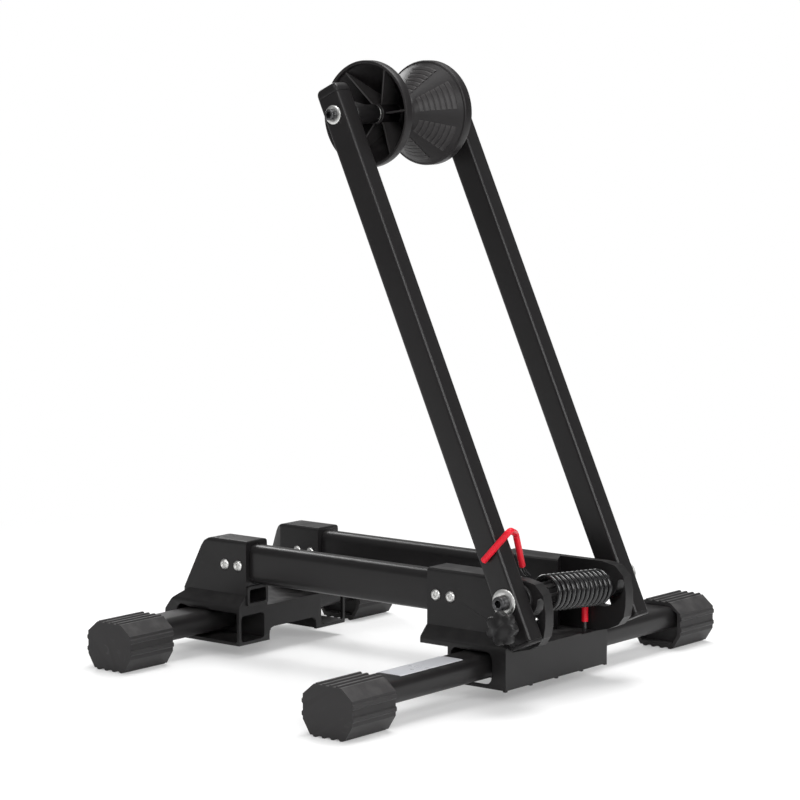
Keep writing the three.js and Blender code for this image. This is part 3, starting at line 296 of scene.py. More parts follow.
def softened(name, nodes, radius, angle=25.0, segments=2):
    """Copies of CAD nodes as one piece, with their coplanar triangles merged and edges rounded."""
    bm = bmesh.new()
    for node in nodes:
        bm.from_mesh(frame["nodes"][node].data)
    bmesh.ops.remove_doubles(bm, verts=bm.verts, dist=0.004 * MM)
    bmesh.ops.dissolve_limit(
        bm, angle_limit=math.radians(0.6), verts=bm.verts, edges=bm.edges, delimit=set()
    )
    mesh = bpy.data.meshes.new(name)
    bm.to_mesh(mesh)
    bm.free()
    mesh.polygons.foreach_set("use_smooth", [True] * len(mesh.polygons))
    obj = new_object(name, mesh)
    bevel = obj.modifiers.new("Edges", "BEVEL")
    bevel.width = radius
    bevel.segments = segments
    bevel.limit_method = "ANGLE"
    bevel.angle_limit = math.radians(angle)
    bevel.use_clamp_overlap = True
    bevel.harden_normals = False
    bevel.miter_outer = "MITER_ARC"
    even = obj.modifiers.new("Flat faces", "WEIGHTED_NORMAL")
    even.mode = "FACE_AREA"
    even.weight = 100
    even.keep_sharp = True
    return applied(obj)


def applied(obj, name=None):
    """The object with its modifiers worked into a plain mesh."""
    bpy.context.view_layer.update()
    depsgraph = bpy.context.evaluated_depsgraph_get()
    mesh = bpy.data.meshes.new_from_object(obj.evaluated_get(depsgraph))
    title = name or obj.name
    bpy.data.objects.remove(obj)
    return new_object(title, mesh)


def dress(obj, material):
    """Gives the whole of a piece one material."""
    obj.data.materials.clear()
    obj.data.materials.append(material)
    for polygon in obj.data.polygons:
        polygon.material_index = 0


def finish_piece(obj, material, body, slot, *nodes):
    """Gives a piece its material, hangs it on the body that it rides on and hides the nodes that it stands
    for.
    """
    dress(obj, material)
    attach(obj, body)
    if nodes:
        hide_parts(*nodes)
    return obj


# ---------------- geometry node trees ----------------


class Tree:
    """A node tree under construction: sockets by name, nodes by type."""

    def __init__(self, name, kind):
        self.tree = bpy.data.node_groups.new(name, kind)
        self.inputs = self.tree.nodes.new("NodeGroupInput")
        self.outputs = self.tree.nodes.new("NodeGroupOutput")

    def takes(self, name, socket, default=None):
        made = self.tree.interface.new_socket(name, in_out="INPUT", socket_type=socket)
        if default is not None:
            made.default_value = default
        return made

    def gives(self, name, socket):
        return self.tree.interface.new_socket(name, in_out="OUTPUT", socket_type=socket)

    def node(self, kind, **settings):
        return add_node(self.tree, kind, **settings)

    def link(self, start, end):
        self.tree.links.new(start, end)

    def taken(self, name):
        return self.inputs.outputs[name]

    def given(self, name):
        return self.outputs.inputs[name]


def add_node(tree, kind, **settings):
    made = tree.nodes.new(kind)
    for key, value in settings.items():
        setattr(made, key, value)
    return made


def set_inputs(modifier, values):
    """Sets a node modifier's inputs by the sockets' identifiers."""
    for item in modifier.node_group.interface.items_tree:
        if item.item_type == "SOCKET" and item.in_out == "INPUT" and item.name in values:
            modifier[item.identifier] = values[item.name]


def wire_tree():
    """Round wire along the curve that it is put on."""
    t = Tree("Wire along a path", "GeometryNodeTree")
    t.takes("Geometry", "NodeSocketGeometry")
    t.takes("Diameter", "NodeSocketFloat", 4 * MM)
    t.takes("Sides", "NodeSocketInt", 16)
    t.takes("Material", "NodeSocketMaterial")
    t.gives("Geometry", "NodeSocketGeometry")
    half = t.node("ShaderNodeMath", operation="MULTIPLY")
    half.inputs[1].default_value = 0.5
    profile = t.node("GeometryNodeCurvePrimitiveCircle", mode="RADIUS")
    sweep = t.node("GeometryNodeCurveToMesh")
    sweep.inputs["Fill Caps"].default_value = True
    realize = t.node("GeometryNodeRealizeInstances")
    paint = t.node("GeometryNodeSetMaterial")
    t.link(t.taken("Diameter"), half.inputs[0])
    t.link(half.outputs[0], profile.inputs["Radius"])
    t.link(t.taken("Sides"), profile.inputs["Resolution"])
    t.link(t.taken("Geometry"), sweep.inputs["Curve"])
    t.link(profile.outputs["Curve"], sweep.inputs["Profile Curve"])
    t.link(sweep.outputs["Mesh"], realize.inputs[0])
    t.link(realize.outputs[0], paint.inputs["Geometry"])
    t.link(t.taken("Material"), paint.inputs["Material"])
    t.link(paint.outputs["Geometry"], t.given("Geometry"))
    return t.tree


def around_tree():
    """Copies of the mesh it is put on, spread evenly about the Y axis."""
    t = Tree("Copies about an axle", "GeometryNodeTree")
    t.takes("Geometry", "NodeSocketGeometry")
    t.takes("Count", "NodeSocketInt", 6)
    t.takes("First turn", "NodeSocketFloat", 0.0)
    t.takes("Material", "NodeSocketMaterial")
    t.gives("Geometry", "NodeSocketGeometry")
    points = t.node("GeometryNodePoints")
    spread = t.node("GeometryNodeInstanceOnPoints")
    index = t.node("GeometryNodeInputIndex")
    step = t.node("ShaderNodeMath", operation="DIVIDE")
    step.inputs[0].default_value = 2 * math.pi
    turn = t.node("ShaderNodeMath", operation="MULTIPLY_ADD")
    spin = t.node("ShaderNodeCombineXYZ")
    realize = t.node("GeometryNodeRealizeInstances")
    paint = t.node("GeometryNodeSetMaterial")
    t.link(t.taken("Count"), points.inputs["Count"])
    t.link(t.taken("Count"), step.inputs[1])
    t.link(index.outputs[0], turn.inputs[0])
    t.link(step.outputs[0], turn.inputs[1])
    t.link(t.taken("First turn"), turn.inputs[2])
    t.link(turn.outputs[0], spin.inputs["Y"])
    t.link(points.outputs[0], spread.inputs["Points"])
    t.link(t.taken("Geometry"), spread.inputs["Instance"])
    t.link(spin.outputs[0], spread.inputs["Rotation"])
    t.link(spread.outputs[0], realize.inputs[0])
    t.link(realize.outputs[0], paint.inputs["Geometry"])
    t.link(t.taken("Material"), paint.inputs["Material"])
    t.link(paint.outputs["Geometry"], t.given("Geometry"))
    return t.tree


def rivet_tree():
    """The mesh it is put on, twice, a pitch apart along X and turned about Z."""
    t = Tree("Rivets in the towers", "GeometryNodeTree")
    t.takes("Geometry", "NodeSocketGeometry")
    t.takes("First", "NodeSocketVector")
    t.takes("Pitch", "NodeSocketFloat", 16.5 * MM)
    t.takes("Turn", "NodeSocketFloat", 0.0)
    t.takes("Material", "NodeSocketMaterial")
    t.gives("Geometry", "NodeSocketGeometry")
    step = t.node("ShaderNodeCombineXYZ")
    line = t.node("GeometryNodeMeshLine", mode="OFFSET")
    line.inputs["Count"].default_value = 2
    spread = t.node("GeometryNodeInstanceOnPoints")
    spin = t.node("ShaderNodeCombineXYZ")
    realize = t.node("GeometryNodeRealizeInstances")
    paint = t.node("GeometryNodeSetMaterial")
    t.link(t.taken("Pitch"), step.inputs["X"])
    t.link(t.taken("First"), line.inputs["Start Location"])
    t.link(step.outputs[0], line.inputs["Offset"])
    t.link(line.outputs[0], spread.inputs["Points"])
    t.link(t.taken("Geometry"), spread.inputs["Instance"])
    t.link(t.taken("Turn"), spin.inputs["Z"])
    t.link(spin.outputs[0], spread.inputs["Rotation"])
    t.link(spread.outputs[0], realize.inputs[0])
    t.link(realize.outputs[0], paint.inputs["Geometry"])
    t.link(t.taken("Material"), paint.inputs["Material"])
    t.link(paint.outputs["Geometry"], t.given("Geometry"))
    return t.tree


def worked(obj, tree, **values):
    """The object after a node tree, as a plain mesh."""
    modifier = obj.modifiers.new("Nodes", "NODES")
    modifier.node_group = tree
    set_inputs(modifier, {key.replace("_", " "): value for key, value in values.items()})
    return applied(obj)


def path_curve(name, points):
    curve = bpy.data.curves.new(name, "CURVE")
    curve.dimensions = "3D"
    spline = curve.splines.new("POLY")
    spline.points.add(len(points) - 1)
    for spot, point in zip(spline.points, points):
        spot.co = (*point, 1)
    obj = bpy.data.objects.new(name, curve)
    bpy.context.scene.collection.objects.link(obj)
    return obj


# ---------------- finishes ----------------


def grain_group():
    """Fine moulded or sprayed grain with slow colour drift."""
    t = Tree("Fine grain", "ShaderNodeTree")
    t.takes("Scale", "NodeSocketFloat", 2500.0)
    t.takes("Drift scale", "NodeSocketFloat", 25.0)
    t.gives("Height", "NodeSocketFloat")
    t.gives("Drift", "NodeSocketFloat")
    place_of = t.node("ShaderNodeTexCoord")
    fine = t.node("ShaderNodeTexNoise", noise_dimensions="3D")
    fine.inputs["Detail"].default_value = 3.0
    fine.inputs["Roughness"].default_value = 0.6
    slow = t.node("ShaderNodeTexNoise", noise_dimensions="3D")
    slow.inputs["Detail"].default_value = 4.0
    for noise, scale, out in ((fine, "Scale", "Height"), (slow, "Drift scale", "Drift")):
        t.link(place_of.outputs["Object"], noise.inputs["Vector"])
        t.link(t.taken(scale), noise.inputs["Scale"])
        t.link(noise.outputs["Fac"], t.given(out))
    return t.tree


def scuff_group():
    """Thin scuffs from handling, as a mask."""
    t = Tree("Handling scuffs", "ShaderNodeTree")
    t.takes("Scale", "NodeSocketFloat", 60.0)
    t.takes("Amount", "NodeSocketFloat", 0.3)
    t.gives("Mask", "NodeSocketFloat")
    place_of = t.node("ShaderNodeTexCoord")
    warp = t.node("ShaderNodeTexNoise")
    warp.inputs["Scale"].default_value = 18.0
    bend = t.node("ShaderNodeMix", data_type="VECTOR")
    bend.inputs["Factor"].default_value = 0.06
    stretch = t.node("ShaderNodeMapping")
    stretch.inputs["Rotation"].default_value = (0.5, 0.7, 0.3)
    stretch.inputs["Scale"].default_value = (1.0, 9.0, 1.6)
    lines = t.node("ShaderNodeTexNoise")
    lines.inputs["Detail"].default_value = 5.0
    narrow = t.node("ShaderNodeMapRange")
    narrow.inputs["From Min"].default_value = 0.62
    narrow.inputs["From Max"].default_value = 0.75
    patch = t.node("ShaderNodeTexNoise")
    patch.inputs["Scale"].default_value = 14.0
    where = t.node("ShaderNodeMapRange")
    where.inputs["From Min"].default_value = 0.45
    where.inputs["From Max"].default_value = 0.7
    both = t.node("ShaderNodeMath", operation="MULTIPLY")
    level = t.node("ShaderNodeMath", operation="MULTIPLY")
    t.link(place_of.outputs["Object"], warp.inputs["Vector"])
    t.link(place_of.outputs["Object"], bend.inputs["A"])
    t.link(warp.outputs["Color"], bend.inputs["B"])
    t.link(bend.outputs["Result"], stretch.inputs["Vector"])
    t.link(stretch.outputs[0], lines.inputs["Vector"])
    t.link(t.taken("Scale"), lines.inputs["Scale"])
    t.link(lines.outputs["Fac"], narrow.inputs["Value"])
    t.link(place_of.outputs["Object"], patch.inputs["Vector"])
    t.link(patch.outputs["Fac"], where.inputs["Value"])
    t.link(narrow.outputs["Result"], both.inputs[0])
    t.link(where.outputs["Result"], both.inputs[1])
    t.link(both.outputs[0], level.inputs[0])
    t.link(t.taken("Amount"), level.inputs[1])
    t.link(level.outputs[0], t.given("Mask"))
    return t.tree


def dust_group():
    """A little settled dust on faces that look up, as a mask."""
    t = Tree("Settled dust", "ShaderNodeTree")
    t.takes("Amount", "NodeSocketFloat", 0.15)
    t.gives("Mask", "NodeSocketFloat")
    shape = t.node("ShaderNodeNewGeometry")
    split = t.node("ShaderNodeSeparateXYZ")
    up = t.node("ShaderNodeMapRange")
    up.inputs["From Min"].default_value = 0.6
    up.inputs["From Max"].default_value = 1.0
    place_of = t.node("ShaderNodeTexCoord")
    specks = t.node("ShaderNodeTexNoise")
    specks.inputs["Scale"].default_value = 90.0
    specks.inputs["Detail"].default_value = 6.0
    patchy = t.node("ShaderNodeMapRange")
    patchy.inputs["From Min"].default_value = 0.4
    patchy.inputs["From Max"].default_value = 0.75
    both = t.node("ShaderNodeMath", operation="MULTIPLY")
    level = t.node("ShaderNodeMath", operation="MULTIPLY")
    t.link(shape.outputs["Normal"], split.inputs[0])
    t.link(split.outputs["Z"], up.inputs["Value"])
    t.link(place_of.outputs["Object"], specks.inputs["Vector"])
    t.link(specks.outputs["Fac"], patchy.inputs["Value"])
    t.link(up.outputs["Result"], both.inputs[0])
    t.link(patchy.outputs["Result"], both.inputs[1])
    t.link(both.outputs[0], level.inputs[0])
    t.link(t.taken("Amount"), level.inputs[1])
    t.link(level.outputs[0], t.given("Mask"))
    return t.tree


def edge_group():
    """Where an outside edge is rubbed thin, as a mask."""
    t = Tree("Rubbed edges", "ShaderNodeTree")
    t.takes("Amount", "NodeSocketFloat", 0.3)
    t.gives("Mask", "NodeSocketFloat")
    shape = t.node("ShaderNodeNewGeometry")
    ramp = t.node("ShaderNodeMapRange")
    ramp.inputs["From Min"].default_value = 0.53
    ramp.inputs["From Max"].default_value = 0.62
    level = t.node("ShaderNodeMath", operation="MULTIPLY")
    t.link(shape.outputs["Pointiness"], ramp.inputs["Value"])
    t.link(ramp.outputs["Result"], level.inputs[0])
    t.link(t.taken("Amount"), level.inputs[1])
    t.link(level.outputs[0], t.given("Mask"))
    return t.tree


GROUPS = {
    "grain": grain_group,
    "scuff": scuff_group,
    "dust": dust_group,
    "edge": edge_group,
}
made_groups = {}
made_finishes = {}


def group_node(tree, kind, **values):
    if kind not in made_groups:
        made_groups[kind] = GROUPS[kind]()
    node = add_node(tree, "ShaderNodeGroup", node_tree=made_groups[kind])
    for key, value in values.items():
        node.inputs[key.replace("_", " ")].default_value = value
    return node


def mixed(tree, factor, a, b):
    """Two colours mixed by a mask; a and b are colours or sockets."""
    mix = add_node(tree, "ShaderNodeMix", data_type="RGBA")
    tree.links.new(factor, mix.inputs["Factor"])
    for socket, value in ((mix.inputs[6], a), (mix.inputs[7], b)):
        if isinstance(value, bpy.types.NodeSocket):
            tree.links.new(value, socket)
        else:
            socket.default_value = (*value, 1)
    return mix.outputs[2]


def stepped(tree, value, low, high):
    """A mask spread over a range of roughness."""
    spread = add_node(tree, "ShaderNodeMapRange")
    spread.inputs["To Min"].default_value = low
    spread.inputs["To Max"].default_value = high
    tree.links.new(value, spread.inputs["Value"])
    return spread.outputs["Result"]


def finish(
    name, colour, rough, metallic=0.0, grain=2500.0, bump=0.1, depth=0.05 * MM, drift=1.25,
    scuffs=0.25, dust=0.12, edges=0.25, rubbed=(0.12, 0.12, 0.12), coat=0.0, coat_rough=0.2,
    specular=0.27, sheen=0.0,
):
    """A finish with grain, slow drift, scuffs, dust and rubbed edges on one Principled shader."""
    if name in made_finishes:
        return made_finishes[name]
    material = bpy.data.materials.new(name)
    material.use_nodes = True
    tree = material.node_tree
    shader = tree.nodes["Principled BSDF"]
    shader.inputs["Metallic"].default_value = metallic
    shader.inputs["Specular IOR Level"].default_value = specular
    shader.inputs["Coat Weight"].default_value = coat
    shader.inputs["Coat Roughness"].default_value = coat_rough
    shader.inputs["Sheen Weight"].default_value = sheen
    fine = group_node(tree, "grain", Scale=grain)
    marks = group_node(tree, "scuff", Amount=scuffs)
    settled = group_node(tree, "dust", Amount=dust)
    worn = group_node(tree, "edge", Amount=edges)
    lighter = tuple(min(1.0, c * drift) for c in colour)
    body = mixed(tree, fine.outputs["Drift"], colour, lighter)
    body = mixed(tree, worn.outputs["Mask"], body, rubbed)
    body = mixed(tree, marks.outputs["Mask"], body, tuple(min(1.0, c * 3 + 0.02) for c in colour))
    body = mixed(tree, settled.outputs["Mask"], body, (0.32, 0.31, 0.3))
    tree.links.new(body, shader.inputs["Base Color"])
    gloss = stepped(tree, fine.outputs["Drift"], rough[0], rough[1])
    duller = add_node(tree, "ShaderNodeMath", operation="ADD", use_clamp=True)
    tree.links.new(gloss, duller.inputs[0])
    tree.links.new(settled.outputs["Mask"], duller.inputs[1])
    tree.links.new(duller.outputs[0], shader.inputs["Roughness"])
    relief = add_node(tree, "ShaderNodeBump")
    relief.inputs["Strength"].default_value = bump
    relief.inputs["Distance"].default_value = depth
    tree.links.new(fine.outputs["Height"], relief.inputs["Height"])
    tree.links.new(relief.outputs["Normal"], shader.inputs["Normal"])
    made_finishes[name] = material
    return material


def powder_coat():
    return finish(
        "Satin powder coat", tuple(colours().coat), (0.27, 0.36), grain=1400.0, bump=0.12,
        depth=0.06 * MM, edges=0.2, rubbed=(0.05, 0.05, 0.05), scuffs=0.12, dust=0.05,
    )


def moulded_black():
    return finish(
        "Moulded black", tuple(colours().moulding), (0.34, 0.46), grain=2600.0, bump=0.22,
        depth=0.05 * MM, scuffs=0.2, dust=0.1, rubbed=(0.05, 0.05, 0.05),
    )


def foot_rubber():
    return finish(
        "Foot rubber", tuple(colours().rubber), (0.5, 0.62), grain=1800.0, bump=0.35,
        depth=0.08 * MM, scuffs=0.3, dust=0.2, rubbed=(0.06, 0.058, 0.058), sheen=0.05,
    )


def roller_plastic():
    return finish(
        "Roller plastic", tuple(colours().roller), (0.36, 0.5), grain=1500.0, bump=0.15,
        depth=0.05 * MM, scuffs=0.3, dust=0.12, rubbed=(0.12, 0.115, 0.115),
    )


def bright_zinc():
    return finish(
        "Bright zinc", (0.72, 0.72, 0.705), (0.34, 0.44), metallic=1.0, grain=900.0, bump=0.02,
        depth=0.03 * MM, drift=0.82, scuffs=0.1, dust=0.05, edges=0.1, rubbed=(0.8, 0.8, 0.8),
    )


def black_oxide():
    return finish(
        "Black oxide", (0.045, 0.045, 0.048), (0.28, 0.4), metallic=0.9, grain=1600.0, bump=0.1,
        depth=0.03 * MM, edges=0.5, rubbed=(0.3, 0.3, 0.3),
    )


def spring_coat():
    return finish(
        "Spring coat", (0.012, 0.012, 0.0125), (0.16, 0.26), grain=1200.0, bump=0.08,
        depth=0.03 * MM, scuffs=0.3, dust=0.04, edges=0.1, coat=0.4, coat_rough=0.12,
    )


def red_tubing():
    return finish(
        "Red tubing", tuple(colours().sleeve), (0.3, 0.42), grain=900.0, bump=0.08,
        depth=0.04 * MM, drift=1.1, scuffs=0.05, dust=0.03, edges=0.1, rubbed=(0.8, 0.06, 0.08),
    )


def label_film():
    return finish(
        "Label film", tuple(colours().film), (0.22, 0.34), metallic=0.35, grain=600.0, bump=0.12,
        depth=0.03 * MM, drift=1.08, scuffs=0.08, dust=0.05, edges=0.1, rubbed=(0.8, 0.8, 0.82),
    )


# ---------------- operators ----------------


class STAND_OT_mouldings(bpy.types.Operator):
    """The two moulded blocks, with rounded edges"""

    bl_idname = "stand.mouldings"
    bl_label = "Mouldings"

    def execute(self, context):
        for end in ("front", "rear"):
            node = f"{end}_block"
            block = softened(f"{end}_moulding", [node], sizes().edge_radius)
            finish_piece(block, moulded_black(), "base", "moulded_black", node)
        return {"FINISHED"}


class STAND_OT_cross_tubes(bpy.types.Operator):
    """The two flat-oval cross tubes and the blank label on the front one"""

    bl_idname = "stand.cross_tubes"
    bl_label = "Cross tubes"
    corner: length("Corner", "Corner of the section", 9 * MM)
    wall: length("Wall", "Wall of the tube", 2 * MM)

    def execute(self, context):
        for end in ("front", "rear"):
            node = f"{end}_tube"
            low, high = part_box(node)
            at, size = middle(node), extent(node)

            def spot(u, v, along):
                return Vector((at.x + u, along, at.z + v))

            tube = box_tube(
                f"{end}_cross_tube", size.x, size.z, self.corner, self.wall, low.y, high.y, spot
            )
            finish_piece(tube, powder_coat(), "base", "coated_steel", node)
        label = softened("blank_label", ["label_plate"], 0.12 * MM, 60.0, 1)
        finish_piece(label, label_film(), "base", "label_film", "label_plate")
        return {"FINISHED"}


class STAND_OT_rails(bpy.types.Operator):
    """The two flat-oval rails that the tyre drops between"""

    bl_idname = "stand.rails"
    bl_label = "Rails"
    corner: length("Corner", "Corner of the section", 8.5 * MM)
    wall: length("Wall", "Wall of the tube", 2 * MM)

    def execute(self, context):
        for name, _side in SIDES:
            node = f"rail_{name}"
            low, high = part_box(node)
            at, size = middle(node), extent(node)

            def spot(u, v, along):
                return Vector((along, at.y + u, at.z + v))

            rail = box_tube(
                f"{name}_rail", size.y, size.z, self.corner, self.wall, low.x, high.x, spot
            )
            finish_piece(rail, powder_coat(), "base", "coated_steel", node)
        return {"FINISHED"}


class STAND_OT_feet(bpy.types.Operator):
    """The four ridged rubber feet"""

    bl_idname = "stand.feet"
    bl_label = "Feet"

    def execute(self, context):
        for end in ("front", "rear"):
            for name, _side in SIDES:
                node = f"foot_{end}_{name}"
                foot = softened(f"{end}_{name}_foot", [node], sizes().foot_edge_radius, 22.0, 2)
                finish_piece(foot, foot_rubber(), "base", "rubber", node)
        return {"FINISHED"}


class STAND_OT_fasteners(bpy.types.Operator):
    """Rivets through towers and rails, and the screws under the cross tubes"""

    bl_idname = "stand.fasteners"
    bl_label = "Rivets and tube screws"

    def rivet(self, node):
        head = extent(node).x / 2
        shank, tail = 2.4 * MM, 4 * MM
        inner, outer = -(extent(node).y) / 2 + 1.6 * MM, extent(node).y / 2 - 2.2 * MM
        tip, top = -extent(node).y / 2, extent(node).y / 2
        profile = [
            (0.2 * MM, tip), (tail * 0.55, tip), (tail * 0.85, tip + 0.4 * MM),
            (tail, inner - 0.3 * MM), (tail, inner), (shank, inner), (shank, outer),
            (head, outer), (head, outer + 0.45 * MM), (head * 0.95, outer + 0.95 * MM),
            (head * 0.82, outer + 1.6 * MM), (head * 0.66, top - 0.15 * MM), (head * 0.52, top),
            (head * 0.42, top - 0.12 * MM), (head * 0.36, top - 0.5 * MM),
            (head * 0.3, top - 1.5 * MM), (0.2 * MM, top - 1.6 * MM),
        ]
        return turned("rivet_shape", profile, 40, angle=50.0)

    def execute(self, context):
        tree = rivet_tree()
        pieces = []
        for end in ("front", "rear"):
            for name, side in SIDES:
                nodes = [f"rivet_{end}_{name}_{i}" for i in (1, 2)]
                first, second = middle(nodes[0]), middle(nodes[1])
                shape = self.rivet(nodes[0])
                pieces.append(
                    worked(
                        shape, tree, First=first, Pitch=second.x - first.x,
                        Turn=0.0 if side > 0 else math.pi, Material=bright_zinc(),
                    )
                )
        rivets = joined("rivets", pieces)
        smooth(rivets.data, 50.0)
        nodes = [f"rivet_{e}_{n}_{i}" for e in ("front", "rear") for n, _s in SIDES for i in (1, 2)]
        finish_piece(rivets, bright_zinc(), "base", "zinc", *nodes)
        for end in ("front", "rear"):
            for name, _side in SIDES:
                self.tube_screw(f"screw_{end}_{name}")
        return {"FINISHED"}

    def tube_screw(self, node):
        low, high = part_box(node)
        head = extent(node).x / 2
        shank = 3 * MM
        under = low.z + 2.6 * MM
        rings = [circle(shank - 0.5 * MM, high.z, 48), circle(shank, high.z - 0.6 * MM, 48)]
        for i in range(int((high.z - under) / (0.5 * MM))):
            depth = 0.22 * MM if i % 2 else 0.0
            rings.append(circle(shank - depth, high.z - 0.6 * MM - i * 0.5 * MM, 48))
        rings = [r for r in rings if r[0].y > under] + [
            circle(shank, under, 48), circle(head, under, 48), circle(head, low.z + 1.2 * MM, 48),
            circle(head * 0.9, low.z + 0.35 * MM, 48), circle(head * 0.6, low.z, 48),
            hexagon(4 * MM, low.z, 48), hexagon(3.9 * MM, low.z + 1.6 * MM, 48),
        ]
        screw = loft(f"{node}_piece", rings, angle=40.0)
        turn = Matrix.Rotation(math.pi / 2, 4, "X")
        at = middle(node)
        place(screw, Matrix.Translation((at.x, at.y, 0)) @ turn)
        finish_piece(screw, bright_zinc(), "base", "zinc", node)


class STAND_OT_arms(bpy.types.Operator):
    """The two leaning arms with their caps and plugs"""

    bl_idname = "stand.arms"
    bl_label = "Arms"
    depth: length("Depth", "Depth of the section", 25 * MM)
    corner: length("Corner", "Corner of the section", 4 * MM)
    wall: length("Wall", "Wall of the tube", 2 * MM)
    tail: length("Tail", "Tube below the pivot", 38 * MM)
    tip: length("Tip", "Tube above the rollers", 18.3 * MM)
    dome: length("Dome", "Height of the cap", 9 * MM)
    flange: length("Flange", "Plug's flange", 3 * MM)

    def cap(self, title, width, y, top):
        rings = []
        steps = 10
        for i in range(steps + 1):
            angle = math.pi / 2 * i / steps
            shrink = 1 - 0.42 * (1 - math.cos(angle)) ** 1.5
            rise = self.dome * math.sin(angle)
            inset = 0.0 if i else 0.25 * MM
            outline = section(self.depth - 2 * inset, width - 2 * inset, self.corner)
            rings.append([Vector((u * shrink, y + v * shrink, top + rise)) for u, v in outline])
        full = section(self.depth, width, self.corner)
        rings.insert(1, [Vector((u, y + v, top + 0.25 * MM)) for u, v in full])
        for shrink in (0.42, 0.25, 0.08):
            rise = self.dome * (1 + 0.012 * (0.58 - shrink))
            rings.append([Vector((u * shrink, y + v * shrink, top + rise)) for u, v in full])
        return place(loft(title, rings, angle=50.0), ARM_FRAME)

    def plug(self, title, width, y, bottom):
        flange = self.flange / MM
        rows = ((0.6, 0.0), (0.35, 0.25), (0.0, 0.9), (0.0, flange - 0.3), (0.3, flange))
        rings = [
            [
                Vector((u, y + v, bottom + rise * MM))
                for u, v in section(self.depth - 2 * inset * MM, width - 2 * inset * MM, self.corner)
            ]
            for inset, rise in rows
        ]
        return place(loft(title, rings, angle=50.0), ARM_FRAME)

    def execute(self, context):
        for name, _side in SIDES:
            node = f"arm_{name}"
            width, y = extent(node).y, middle(node).y
            top = ARM_REACH + self.tip

            def spot(u, v, along):
                return Vector((u, y + v, along))

            arm = box_tube(
                f"{name}_arm", self.depth, width, self.corner, self.wall, -self.tail, top, spot
            )
            place(arm, ARM_FRAME)
            finish_piece(arm, powder_coat(), "arms", "coated_steel", node)
            cap = self.cap(f"{name}_arm_cap", width, y, top + 0.1 * MM)
            finish_piece(cap, moulded_black(), "arms", "moulded_black", f"arm_cap_{name}")
            bottom = -self.tail - 0.1 * MM - self.flange
            plug = self.plug(f"{name}_arm_plug", width, y, bottom)
            finish_piece(plug, moulded_black(), "arms", "moulded_black", f"arm_plug_{name}")
        return {"FINISHED"}


def socket_screw(name, node, head, height, key, at, side):
    """A knurled socket head screw whose head faces out along Y."""
    low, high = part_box(node)
    length = high.y - low.y
    shank = head / 2 * 0.6
    rings = [
        circle(shank - 0.5 * MM, length, 48), circle(shank, length - 0.8 * MM, 48),
        circle(shank, height, 48), circle(head / 2, height, 48),
        circle(head / 2, 0.9 * MM, 48), circle(head / 2 - 0.25 * MM, 0.3 * MM, 48),
        circle(head / 2 - 0.7 * MM, 0.0, 48), hexagon(key + 0.5 * MM, 0.0, 48),
        hexagon(key, 0.35 * MM, 48), hexagon(key, height * 0.6, 48),
    ]
    for i in (3, 4):
        for j, point in enumerate(rings[i]):
            notch = 0.16 * MM if j % 2 else 0.0
            radius = math.hypot(point.x, point.z)
            point.x *= (radius - notch) / radius
            point.z *= (radius - notch) / radius
    screw = loft(name, rings, angle=45.0)
    if side > 0:
        place(screw, Matrix.Rotation(math.pi, 4, "Z"))
    outer = low.y if side < 0 else high.y
    return place(screw, Matrix.Translation((at.x, outer, at.z)))


def plain_ring(name, node, bore, at, count=64, edge=0.25 * MM):
    """A washer or bush with broken edges, as wide as its node."""
    low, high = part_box(node)
    outer = (high.x - low.x) / 2
    profile = [
        (bore / 2, low.y + edge), (bore / 2 + edge, low.y), (outer - edge, low.y), (outer, low.y + edge),
        (outer, high.y - edge), (outer - edge, high.y), (bore / 2 + edge, high.y), (bore / 2, high.y - edge),
    ]
    return place(turned(name, profile, count, loop=True, angle=50.0), Matrix.Translation((at.x, 0, at.z)))


def bored_axle(name, node, radius, bore, at):
    """A bar along Y with broken edges and a screw's bore of the second radius in each end."""
    low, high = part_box(node)
    depth, edge = 20 * MM, 0.3 * MM
    profile = [
        (bore, low.y + depth), (bore, low.y), (radius - edge, low.y), (radius, low.y + edge),
        (radius, high.y - edge), (radius - edge, high.y), (bore, high.y), (bore, high.y - depth),
    ]
    return place(turned(name, profile), at)


